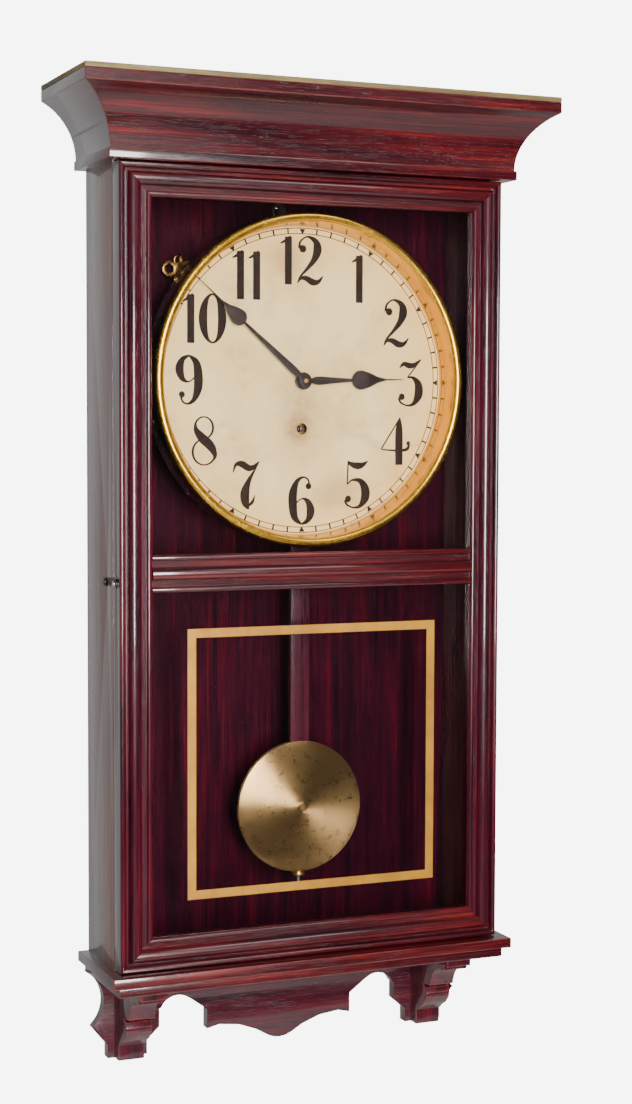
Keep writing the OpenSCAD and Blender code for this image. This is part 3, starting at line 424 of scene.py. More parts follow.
@dataclass(frozen=True)
class Mahogany(Finish):
    """Stained, varnished mahogany, with its grain one way and its edges rubbed."""

    grain: Grain = Grain.UPRIGHT
    dark: Colour = (0.0110, 0.0006, 0.0040)
    mid: Colour = (0.055, 0.0012, 0.0100)
    pale: Colour = (0.160, 0.0040, 0.0140)
    bare: Colour = (0.16, 0.030, 0.018)
    wear: float = 0.8
    dust: Colour = (0.35, 0.26, 0.24)
    varnish: float = 0.8
    shine: float = 0.4
    seed: float = 0.0

    def dress(self, g: Graph, shader: bpy.types.Node, at: bpy.types.NodeSocket) -> None:
        """Sets figured wood under varnish.

        Args:
            g: The material's graph.
            shader: Its Principled node.
            at: Object coordinates.
        """
        along = g.scaled(at, (1.0, 1.0, 1.0), self.grain.value, (self.seed, self.seed * 0.7, self.seed * 0.3))
        wood = FIGURE.place(g, Vector=along, Dark=self.dark, Mid=self.mid, Pale=self.pale)
        edge = g.add("ShaderNodeAttribute", attribute_name=EDGE).outputs["Fac"]
        worn = WEAR.place(g, Vector=at, Edge=edge, Amount=self.wear).outputs["Mask"]
        dirt = GRIME.place(g, Vector=at, Amount=0.25)
        colour = g.mix(worn, wood.outputs["Colour"], self.bare)
        colour = g.mix(g.math("MULTIPLY", dirt.outputs["Specks"], 0.5), colour, self.dust)
        g.feed(shader.inputs["Base Color"], colour)
        rough = g.math("ADD", wood.outputs["Roughness"], g.math("MULTIPLY", worn, 0.25))
        g.feed(shader.inputs["Roughness"], rough)
        self.bump(g, shader, wood.outputs["Height"], 0.00022, 0.55)
        self.set(shader, Specular_IOR_Level=self.shine, Coat_Weight=self.varnish, Coat_Roughness=0.09)


@dataclass(frozen=True)
class RawEdge(Finish):
    """The pale, unstained edge of the top board."""

    dark: Colour = (0.10, 0.062, 0.022)
    mid: Colour = (0.21, 0.150, 0.052)
    pale: Colour = (0.34, 0.265, 0.11)
    grime: Colour = (0.12, 0.06, 0.04)

    def dress(self, g: Graph, shader: bpy.types.Node, at: bpy.types.NodeSocket) -> None:
        """Sets bare, dusty wood.

        Args:
            g: The material's graph.
            shader: Its Principled node.
            at: Object coordinates.
        """
        along = g.scaled(at, (1.0, 1.0, 1.0), Grain.LEVEL.value)
        wood = FIGURE.place(g, Vector=along, Dark=self.dark, Mid=self.mid, Pale=self.pale)
        dirt = GRIME.place(g, Vector=at, Amount=0.6)
        colour = g.mix(g.math("MULTIPLY", dirt.outputs["Stain"], 0.6), wood.outputs["Colour"], self.grime)
        g.feed(shader.inputs["Base Color"], colour)
        g.feed(shader.inputs["Roughness"], g.math("ADD", wood.outputs["Roughness"], 0.3))
        self.bump(g, shader, wood.outputs["Height"], 0.0003)


@dataclass(frozen=True)
class Metal(Finish):
    """A metal, from bright to tarnished."""

    colour: Colour = (0.80, 0.55, 0.20)
    tarnish: Colour = (0.30, 0.16, 0.06)
    rough: float = 0.24
    stained: float = 0.35
    brushed: float = 0.0
    turned: float = 0.0
    metallic: float = 1.0
    shine: float = 0.5
    uneven: float = 0.5

    def dress(self, g: Graph, shader: bpy.types.Node, at: bpy.types.NodeSocket) -> None:
        """Sets metal with tarnish in blotches, and its brushing round an axis where it has one.

        Args:
            g: The material's graph.
            shader: Its Principled node.
            at: Object coordinates.
        """
        age = GRIME.place(g, Vector=at, Amount=0.7)
        stain = g.math("MULTIPLY", age.outputs["Stain"], self.stained)
        colour = g.mix(stain, self.colour, self.tarnish)
        rough = g.math("ADD", g.math("MULTIPLY", age.outputs["Mottle"], 0.16), self.rough - 0.08)
        rough = g.math("ADD", rough, g.math("MULTIPLY", stain, 0.35))
        height = age.outputs["Mottle"]
        depth = 0.00003
        if self.turned > 0.0:
            rings = g.scaled(g.add("ShaderNodeUVMap", uv_map=RING_MAP).outputs[0], (0.6, 1.0, 1.0))
            lines = g.noise(rings, self.turned, 4.0, 0.75)
            colour = g.mix(g.spread(lines, 0.35, 0.62, 0.35, 0.0), colour, self.tarnish)
            rough = g.math("ADD", rough, g.math("MULTIPLY", lines, 0.1))
            height = lines
            depth = 0.00006
        g.feed(shader.inputs["Base Color"], colour)
        g.feed(shader.inputs["Roughness"], rough)
        self.bump(g, shader, height, depth, self.uneven)
        self.set(shader, Metallic=self.metallic, Specular_IOR_Level=self.shine)
        if self.brushed > 0.0:
            self.set(shader, Anisotropic=self.brushed, Anisotropic_Rotation=0.25)
            tangent = g.add("ShaderNodeTangent", direction_type="UV_MAP", uv_map=RING_MAP)
            g.feed(shader.inputs["Tangent"], tangent.outputs[0])


@dataclass(frozen=True)
class SpunBrass(Metal):
    """Lacquered gold brass, with painted shade: its outer wall behind the lip is painted near black."""

    colour: Colour = (0.66, 0.37, 0.040)
    tarnish: Colour = (0.40, 0.19, 0.016)
    rough: float = 0.22
    stained: float = 0.2
    uneven: float = 0.04
    wall_r: float = 160.0 * MM
    front_y: float = 0.0
    centre: Point = (0.0, 0.0)
    fade: float = 1.5 * MM
    black: Colour = (0.020, 0.011, 0.006)

    def dress(self, g: Graph, shader: bpy.types.Node, at: bpy.types.NodeSocket) -> None:
        """Sets gold brass with painted shade on its outer wall, which is mixed to near black.

        Args:
            g: The material's graph.
            shader: Its Principled node.
            at: Object coordinates.
        """
        super().dress(g, shader, at)
        gold = shader.inputs["Base Color"].links[0].from_socket
        parts = g.add("ShaderNodeSeparateXYZ")
        g.feed(parts.inputs[0], at)
        # Painted shade: the outer wall behind the lip is mixed to a near-black colour that stands in for the
        # shadow it sits in.
        out = DialPaper.away(g, at, self.centre, self.wall_r - 0.8 * MM, self.wall_r)
        behind = g.spread(parts.outputs["Y"], self.front_y - self.fade, self.front_y + self.fade)
        g.feed(shader.inputs["Base Color"], g.mix(g.math("MULTIPLY", out, behind), gold, self.black))


@dataclass(frozen=True)
class DialPaper(Finish):
    """Cream dial paper, yellowed at its edge and stained round its holes.

    A halo is a stain's drop below the centre, its reach and its strength. A bloom is its angle round the
    dial in degrees and its reach.
    """

    centre: Point = (0.0, 0.0)
    radius: float = 150.0 * MM
    clean: Colour = (0.97, 0.71, 0.33)
    cloudy: Colour = (0.84, 0.55, 0.21)
    yellowed: Colour = (0.72, 0.47, 0.16)
    oiled: Colour = (0.30, 0.15, 0.05)
    foxed: Colour = (0.40, 0.20, 0.07)
    damp: Colour = (0.45, 0.28, 0.11)
    fly_specks: Colour = (0.22, 0.13, 0.07)
    halo_shift: float = 4.0 * MM
    halos: tuple[Triple, ...] = (
        (18.0 * MM, 40.0 * MM, 0.5), (47.0 * MM, 22.0 * MM, 1.0), (59.0 * MM, 50.0 * MM, 0.3),
    )
    bloom_r: float = 118.0 * MM
    blooms: tuple[Point, ...] = (
        (348.0, 30.0 * MM), (352.0, 22.0 * MM), (158.0, 34.0 * MM), (172.0, 28.0 * MM),
    )

    def dress(self, g: Graph, shader: bpy.types.Node, at: bpy.types.NodeSocket) -> None:
        """Sets aged paper.

        Args:
            g: The material's graph.
            shader: Its Principled node.
            at: Object coordinates.
        """
        age = GRIME.place(g, Vector=at, Amount=0.8)
        broad = g.noise(at, 9.0, 4.0, 0.6, 0.6)
        fine = g.noise(at, 900.0, 2.0, 0.5)
        colour = g.mix(g.spread(broad, 0.35, 0.7), self.clean, self.cloudy)
        rim = self.away(g, at, self.centre, self.radius * 0.62, self.radius * 1.04)
        colour = g.mix(g.math("MULTIPLY", rim, 0.6), colour, self.yellowed)
        for drop, reach, strength in self.halos:
            spot = (self.centre[0] - self.halo_shift, self.centre[1] - drop)
            near = g.math("SUBTRACT", 1.0, self.away(g, at, spot, 1.0 * MM, reach))
            near = g.math("MULTIPLY", near, g.spread(age.outputs["Mottle"], 0.25, 0.7, 0.55, 1.0))
            colour = g.mix(g.math("MULTIPLY", near, strength), colour, self.oiled)
        for angle, reach in self.blooms:
            turn = math.radians(angle)
            out = (self.bloom_r * math.sin(turn), self.bloom_r * math.cos(turn))
            spot = (self.centre[0] + out[0], self.centre[1] + out[1])
            near = g.math("SUBTRACT", 1.0, self.away(g, at, spot, 4.0 * MM, reach))
            near = g.math("MULTIPLY", near, g.spread(broad, 0.3, 0.6, 0.2, 0.42))
            colour = g.mix(near, colour, self.foxed)
        colour = g.mix(g.math("MULTIPLY", age.outputs["Stain"], 0.5), colour, self.damp)
        colour = g.mix(g.math("MULTIPLY", age.outputs["Specks"], 0.4), colour, self.fly_specks)
        g.feed(shader.inputs["Base Color"], colour)
        g.feed(shader.inputs["Roughness"], g.spread(fine, 0.2, 0.8, 0.55, 0.7))
        self.bump(g, shader, g.math("ADD", fine, broad), 0.00006, 0.4)
        self.set(shader, Specular_IOR_Level=0.35)

    @staticmethod
    def away(g: Graph, at: object, spot: Point, near: float, far: float) -> bpy.types.NodeSocket:
        """How far a place on the dial is from a spot, from 0 at near to 1 at far.

        Args:
            g: The material's graph.
            at: Object coordinates.
            spot: The spot, across and up.
            near: Where the result is 0.
            far: Where the result is 1.

        Returns:
            The distance as a mask.
        """
        flat = g.scaled(at, (1.0, 0.0, 1.0), shift=(-spot[0], 0.0, -spot[1]))
        length = g.add("ShaderNodeVectorMath", operation="LENGTH")
        g.feed(length.inputs[0], flat)
        return g.spread(length.outputs["Value"], near, far)


@dataclass(frozen=True)
class Ink(Finish):
    """Faded printer's ink, thin in places."""

    colour: Colour = (0.0090, 0.0050, 0.0042)
    faded: Colour = (0.034, 0.018, 0.012)

    def dress(self, g: Graph, shader: bpy.types.Node, at: bpy.types.NodeSocket) -> None:
        """Sets faded ink.

        Args:
            g: The material's graph.
            shader: Its Principled node.
            at: Object coordinates.
        """
        thin = g.spread(g.noise(at, 60.0, 5.0, 0.7), 0.38, 0.68)
        grit = g.spread(g.noise(at, 900.0, 3.0, 0.6), 0.52, 0.7)
        fade = g.math("ADD", g.math("MULTIPLY", thin, 0.7), g.math("MULTIPLY", grit, 0.35), clamp=True)
        g.feed(shader.inputs["Base Color"], g.mix(fade, self.colour, self.faded))
        g.feed(shader.inputs["Roughness"], g.spread(thin, 0.0, 1.0, 0.7, 0.85))
        self.set(shader, Specular_IOR_Level=0.12)


@dataclass(frozen=True)
class Gilding(Finish):
    """Mustard gold paint on glass, brushed by hand."""

    bright: Colour = (0.46, 0.215, 0.010)
    dull: Colour = (0.33, 0.14, 0.007)
    stroke: Colour = (0.24, 0.10, 0.015)

    def dress(self, g: Graph, shader: bpy.types.Node, at: bpy.types.NodeSocket) -> None:
        """Sets old gold paint.

        Args:
            g: The material's graph.
            shader: Its Principled node.
            at: Object coordinates.
        """
        strokes = g.noise(g.scaled(at, (1.0, 1.0, 0.2)), 420.0, 4.0, 0.65)
        clouds = g.noise(at, 26.0, 4.0, 0.6)
        colour = g.mix(g.spread(clouds, 0.3, 0.7), self.bright, self.dull)
        colour = g.mix(g.spread(strokes, 0.55, 0.75, 0.0, 0.4), colour, self.stroke)
        g.feed(shader.inputs["Base Color"], colour)
        g.feed(shader.inputs["Roughness"], g.spread(strokes, 0.2, 0.8, 0.34, 0.5))
        self.bump(g, shader, strokes, 0.00004)
        self.set(shader, Metallic=0.25)


@dataclass(frozen=True)
class Pane(Finish):
    """Clear old window glass."""

    tint: Colour = (0.97, 0.985, 0.98)

    def dress(self, g: Graph, shader: bpy.types.Node, at: bpy.types.NodeSocket) -> None:
        """Sets glass that lets lamps through.

        Args:
            g: The material's graph.
            shader: Its Principled node.
            at: Object coordinates.
        """
        self.set(shader, Metallic=0.0, Transmission_Weight=1.0, IOR=1.45)
        g.feed(shader.inputs["Base Color"], self.tint)
        haze = g.noise(at, 30.0, 3.0, 0.6)
        g.feed(shader.inputs["Roughness"], g.spread(haze, 0.3, 0.8, 0.0, 0.025))
        clear = g.add("ShaderNodeBsdfTransparent")
        ray = g.add("ShaderNodeLightPath")
        surface = shader.outputs[0]
        for kind in ("Is Diffuse Ray", "Is Shadow Ray"):
            both = g.add("ShaderNodeMixShader")
            g.feed(both.inputs[0], ray.outputs[kind])
            g.feed(both.inputs[1], surface)
            g.feed(both.inputs[2], clear.outputs[0])
            surface = both.outputs[0]
        g.feed(g.tree.nodes["Material Output"].inputs["Surface"], surface)


@dataclass(frozen=True)
class Paint(Finish):
    """Plain matt paint, for the floor."""

    colour: Colour = (0.82, 0.82, 0.81)

    def dress(self, g: Graph, shader: bpy.types.Node, at: bpy.types.NodeSocket) -> None:
        """Sets matt paint.

        Args:
            g: The material's graph.
            shader: Its Principled node.
            at: Object coordinates.
        """
        uneven = g.noise(at, 3.0, 2.0, 0.5)
        lighter = tuple(part * 1.04 for part in self.colour)
        g.feed(shader.inputs["Base Color"], g.mix(uneven, self.colour, lighter))
        self.set(shader, Roughness=0.75)


# ---- meshes ----

EDGE = "worn_edge"
RING_MAP = "round_the_axis"
SHARP = math.radians(28.0)


def piece(name: str, mesh: bpy.types.Mesh, finish: Finish, body: str) -> bpy.types.Object:
    """Makes an object of a mesh, in its finish, on its body.

    Args:
        name: The piece's name.
        mesh: Its mesh, already in place.
        finish: Its finish.
        body: The body that it rides on.

    Returns:
        The object.
    """
    made = bpy.data.objects.new(name, mesh)
    bpy.context.scene.collection.objects.link(made)
    mesh.materials.clear()
    mesh.materials.append(finish.material())
    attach(made, body)
    log.info("%s rides on %s in %s", name, body, finish.name)
    return made


def planed_mesh(node: str, bevel: float) -> bpy.types.Mesh:
    """Copies a CAD node's mesh, joins its faces and rounds its outer edges.

    Args:
        node: The node.
        bevel: The width of the rounding, or 0 for none.

    Returns:
        The new mesh, with the rounded edges marked in the attribute EDGE.
    """
    mesh = bpy.data.meshes.new(node)
    bm = bmesh.new()
    bm.from_mesh(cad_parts[node].data)
    bmesh.ops.remove_doubles(bm, verts=bm.verts, dist=0.002 * MM)
    bmesh.ops.dissolve_degenerate(bm, dist=0.001 * MM, edges=bm.edges)
    bmesh.ops.dissolve_limit(bm, angle_limit=math.radians(0.4), verts=bm.verts, edges=bm.edges)
    mark = bm.faces.layers.float.new(EDGE)
    if bevel > 0.0:
        paired = [e for e in bm.edges if len(e.link_faces) == 2]
        outer = [e for e in paired if e.is_convex and e.calc_face_angle(0.0) > SHARP]
        made = bmesh.ops.bevel(
            bm, geom=outer, offset=bevel, offset_type="OFFSET", segments=2, profile=0.5, affect="EDGES",
            clamp_overlap=True,
        )
        for face in made["faces"]:
            face[mark] = 1.0
    for face in bm.faces:
        face.smooth = True
    bmesh.ops.triangulate(bm, faces=[f for f in bm.faces if len(f.verts) > 4])
    bm.to_mesh(mesh)
    bm.free()
    mesh.set_sharp_from_angle(angle=SHARP)
    return mesh


def map_rings(mesh: bpy.types.Mesh, centre: Vector) -> None:
    """Gives a round piece a UV map whose U runs round the Y axis through its centre, and V out from it.

    Args:
        mesh: The piece's mesh.
        centre: A point on its axis.
    """
    layer = mesh.uv_layers.new(name=RING_MAP)
    for face in mesh.polygons:
        middle = face.center - centre
        base = math.atan2(middle.x, middle.z)
        for corner in face.loop_indices:
            at = mesh.vertices[mesh.loops[corner].vertex_index].co - centre
            turn = (math.atan2(at.x, at.z) - base + math.pi) % (2 * math.pi) - math.pi
            reach = math.hypot(at.x, at.z) + abs(at.y) * 0.6
            layer.data[corner].uv = ((base + turn) / (2 * math.pi), reach)


def prism(bm: bmesh.types.BMesh, outline: Sequence[Point], back: float, front: float) -> None:
    """Adds a closed flat shape between two depths.

    Args:
        bm: The mesh to add it to.
        outline: Its points across and up, anticlockwise as seen from the front.
        back: The Y of its back.
        front: The Y of its front.
    """
    rear = [bm.verts.new((x, back, z)) for x, z in outline]
    face = [bm.verts.new((x, front, z)) for x, z in outline]
    bm.faces.new(face)
    bm.faces.new(rear[::-1])
    count = len(outline)
    for i in range(count):
        j = (i + 1) % count
        bm.faces.new((rear[i], rear[j], face[j], face[i]))


def mesh_of(name: str, bm: bmesh.types.BMesh) -> bpy.types.Mesh:
    """Turns a finished bmesh into a mesh with its faces outwards.

    Args:
        name: The mesh's name.
        bm: The bmesh, which is freed.

    Returns:
        The mesh.
    """
    bmesh.ops.recalc_face_normals(bm, faces=bm.faces)
    mesh = bpy.data.meshes.new(name)
    bm.to_mesh(mesh)
    bm.free()
    return mesh


@dataclass(frozen=True)
class Planed:
    """A piece that stands for a CAD node, with its edges rounded and its curves smooth."""

    node: str
    body: str
    finish: Finish
    slot: str
    bevel: float = 0.0
    rings: bool = False

    def build(self) -> bpy.types.Object:
        """Makes the piece.

        Returns:
            The object.
        """
        mesh = planed_mesh(self.node, self.bevel)
        if self.rings:
            low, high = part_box(self.node)
            map_rings(mesh, (low + high) / 2)
        made = piece(f"{self.node}_finished", mesh, self.finish, self.body)
        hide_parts(self.node)
        return made


def dress(nodes: Iterable[str], finish: Finish) -> None:
    """Gives CAD nodes that stay as they are a finish.

    Args:
        nodes: Their names.
        finish: The finish.
    """
    for name in nodes:
        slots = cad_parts[name].data.materials
        slots.clear()
        slots.append(finish.material())
        log.info("%s keeps its mesh, in %s", name, finish.name)


# ---- sub-assemblies ----

UPRIGHT = Mahogany("mahogany_upright", Grain.UPRIGHT)
LEVEL = Mahogany(
    "mahogany_level", Grain.LEVEL, mid=(0.055, 0.0015, 0.0050), pale=(0.200, 0.0085, 0.0070), seed=0.31,
)
RETURN = Mahogany("mahogany_return", Grain.DEEP, seed=0.77)
SCROLL = Mahogany("mahogany_scroll", Grain.LEVEL, seed=1.3, pale=(0.140, 0.0060, 0.0080))
# Painted reflection: the side boards get a paler, greyer copy of the mahogany that stands in for the glancing
# reflection of the pale room on their varnish.
SIDE_WITH_PAINTED_REFLECTION = Mahogany(
    "mahogany_side_painted_reflection", Grain.UPRIGHT, mid=(0.140, 0.045, 0.036), pale=(0.290, 0.125, 0.090), wear=0.5, seed=2.1,
)
INSIDE = Mahogany(
    "inside_mahogany", Grain.UPRIGHT, dark=(0.0060, 0.0004, 0.0030), mid=(0.0220, 0.0006, 0.0060),
    pale=(0.085, 0.0014, 0.0080), varnish=0.0, shine=0.04, wear=0.0, seed=3.3,
)
ROD_WOOD = Mahogany(
    "rod_mahogany", Grain.UPRIGHT, mid=(0.045, 0.0045, 0.0130), pale=(0.085, 0.0090, 0.020), varnish=0.2,
    shine=0.15, seed=4.2,
)
BOB_BRASS = Metal(
    "bob_brass", colour=(0.34, 0.205, 0.080), tarnish=(0.17, 0.085, 0.040), rough=0.24, stained=0.25,
    brushed=0.9, turned=900.0, uneven=0.12,
)
CLOCK_BRASS = Metal(
    "clock_brass", colour=(0.52, 0.30, 0.075), tarnish=(0.18, 0.08, 0.025), rough=0.30, stained=0.6,
)
# Painted shade: the key and its hook get brass darkened far below the clock's other brass, standing in for
# the shade they hang in, with real tarnish blotches on top.
SHADED_KEY_BRASS = Metal(
    "key_brass_painted_shade", colour=(0.20, 0.10, 0.026), tarnish=(0.035, 0.016, 0.008), rough=0.22, stained=0.9,
)
OLD_IRON = Metal(
    "old_iron", colour=(0.070, 0.050, 0.040), tarnish=(0.030, 0.018, 0.012), rough=0.40, stained=0.8,
)
STEEL = Metal("satin_steel", colour=(0.50, 0.50, 0.51), tarnish=(0.16, 0.12, 0.10), rough=0.32)
IRON = Metal("black_iron", colour=(0.055, 0.045, 0.042), tarnish=(0.10, 0.05, 0.035), rough=0.42)
HAND_STEEL = Metal(
    "blacked_steel", colour=(0.0075, 0.0022, 0.0018), tarnish=(0.020, 0.006, 0.004), rough=0.55,
    metallic=0.2, shine=0.25,
)
ZINC = Metal("dull_zinc", colour=(0.42, 0.42, 0.40), tarnish=(0.22, 0.20, 0.18), rough=0.5)


@dataclass
class Case:
    """The box, its ledge, apron and corbels, and what hangs it on the wall."""

    edge: float = 0.9 * MM

    def build(self) -> None:
        """Makes the boards and dresses the rest."""
        # The side boards take the copy of the mahogany with the painted reflection.
        for node, finish in (
            ("side_left", SIDE_WITH_PAINTED_REFLECTION), ("side_right", SIDE_WITH_PAINTED_REFLECTION), ("ledge", LEVEL), ("base_board", LEVEL),
            ("apron_board", SCROLL), ("corbels", UPRIGHT),
        ):
            Planed(node, "case", finish, "mahogany", self.edge).build()
        dress(("back_board",), INSIDE)
        dress(("wall_hanger", "wood_screws"), OLD_IRON)


@dataclass
class Cornice:
    """The neck board, the coved crown in three runs and the pale-edged top board."""

    edge: float = 0.7 * MM

    def build(self) -> None:
        """Makes the runs and boards."""
        for node, finish in (
            ("neck_board", LEVEL), ("cornice_front", LEVEL),
            ("cornice_left", RETURN), ("cornice_right", RETURN),
        ):
            Planed(node, "case", finish, "mahogany", self.edge).build()
        Planed("cornice_top", "case", RawEdge("bare_edge"), "raw_edge", self.edge).build()


@dataclass
class Door:
    """The glazed door with its hinges, hook and the gilt border on its lower glass."""

    edge: float = 0.35 * MM
    leaf_edge: float = 0.15 * MM
    steel_edge: float = 0.2 * MM
    hook_edge: float = 0.3 * MM
    border_w: float = 8.6 * MM
    border_half: float = 131.0 * MM
    border_low: float = 65.0 * MM
    border_high: float = 326.0 * MM
    film: float = 0.12 * MM
    clear: float = 0.01 * MM

    def build(self) -> None:
        """Makes the frame, glass, border and hardware."""
        for node, finish in (
            ("door_stile_left", UPRIGHT), ("door_stile_right", UPRIGHT), ("door_rail_top", LEVEL),
            ("door_rail_mid", LEVEL), ("door_rail_bottom", LEVEL),
        ):
            Planed(node, "door", finish, "mahogany", self.edge).build()
        dress(("glass_upper", "glass_lower"), Pane("window_glass"))
        dress(("glazing_strips",), INSIDE)
        for node, body in (("hinge_case_leaves", "case"), ("hinge_door_leaves", "door")):
            Planed(node, body, CLOCK_BRASS, "movement_brass", self.leaf_edge).build()
        Planed("hinge_pins", "case", STEEL, "steel", self.steel_edge).build()
        Planed("door_screws", "door", STEEL, "steel", self.steel_edge).build()
        Planed("door_hook", "hook", IRON, "dark_iron", self.hook_edge).build()
        Planed("hook_screw", "case", IRON, "dark_iron", self.steel_edge).build()
        self.gild()

    def gild(self) -> None:
        """Makes the border, a film of paint on the back of the lower glass."""
        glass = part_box("glass_lower")[1].y
        ledge_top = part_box("ledge")[1].z
        half, w = self.border_half, self.border_w
        low, high = ledge_top + self.border_low, ledge_top + self.border_high
        outer = [(-half, low), (half, low), (half, high), (-half, high)]
        inner = [(x - math.copysign(w, x), z + (w if z == low else -w)) for x, z in outer]
        bm = bmesh.new()
        for i in range(4):
            j = (i + 1) % 4
            prism(bm, [outer[i], outer[j], inner[j], inner[i]], glass + self.film, glass + self.clear)
        bmesh.ops.remove_doubles(bm, verts=bm.verts, dist=self.clear)
        inside = [f for f in bm.faces if abs(f.normal.y) < 0.5 and self.is_mitre(f)]
        bmesh.ops.delete(bm, geom=inside, context="FACES_ONLY")
        piece("gilt_border", mesh_of("gilt_border", bm), Gilding("gilding"), "door")

    def is_mitre(self, face: bmesh.types.BMFace) -> bool:
        """Whether a face of the border lies in one of its mitres.

        Args:
            face: The face.

        Returns:
            True if it joins the outer and the inner rectangle.
        """
        spread_x = max(v.co.x for v in face.verts) - min(v.co.x for v in face.verts)
        spread_z = max(v.co.z for v in face.verts) - min(v.co.z for v in face.verts)
        return abs(spread_x - spread_z) < 0.1 * MM and spread_x > 0.5 * self.border_w


@dataclass(frozen=True)
class Stroke:
    """A pen stroke: points across and up with half its width at each, in units of the numeral's height."""

    points: tuple[tuple[float, float, float], ...]
    closed: bool = False

    def samples(self, steps: int = 9) -> list[tuple[Vector, float]]:
        """Smooths the stroke.

        Args:
            steps: Samples between two points.

        Returns:
            Places on the centreline with the half width at each.
        """
        pts = [Vector(p) for p in self.points]
        count = len(pts)
        if count == 2:
            return [(Vector((p.x, p.y)), p.z) for p in pts]
        spans = count if self.closed else count - 1
        out = []
        for i in range(spans):
            if self.closed:
                p0, p1, p2, p3 = (pts[(i + k) % count] for k in (-1, 0, 1, 2))
            else:
                p0, p1, p2, p3 = (pts[min(max(i + k, 0), count - 1)] for k in (-1, 0, 1, 2))
            for s in range(steps):
                t = s / steps
                p = 0.5 * (
                    2 * p1 + (p2 - p0) * t + (2 * p0 - 5 * p1 + 4 * p2 - p3) * t * t
                    + (3 * p1 - p0 - 3 * p2 + p3) * t * t * t
                )
                out.append((Vector((p.x, p.y)), max(p.z, 0.004)))
        if not self.closed:
            out.append((Vector((pts[-1].x, pts[-1].y)), pts[-1].z))
        return out


def ellipse(cx: float, cy: float, rx: float, ry: float, thin: float, thick: float) -> Stroke:
    """A closed oval stroke that swells at its sides.

    Args:
        cx: Its centre across.
        cy: Its centre up.
        rx: Its half width.
        ry: Its half height.
        thin: Half the stroke's width at top and bottom.
        thick: Half the stroke's width at the sides.

    Returns:
        The stroke.
    """
    turns = [2 * math.pi * i / 16 for i in range(16)]
    swell = thick - thin
    ways = ((math.cos(a), math.sin(a)) for a in turns)
    return Stroke(tuple((cx + rx * x, cy + ry * y, thin + swell * x**2) for x, y in ways), closed=True)


@dataclass(frozen=True)
class Digit:
    """One fat-faced digit: its strokes, its round terminals as (across, up, radius), and its width."""

    width: float
    strokes: tuple[Stroke, ...]
    balls: tuple[tuple[float, float, float], ...] = ()

    def turned(self) -> "Digit":
        """The digit upside down.

        Returns:
            The turned digit.
        """
        strokes = tuple(
            Stroke(tuple((self.width - x, 1 - y, w) for x, y, w in s.points), s.closed) for s in self.strokes
        )
        return Digit(self.width, strokes, tuple((self.width - x, 1 - y, r) for x, y, r in self.balls))


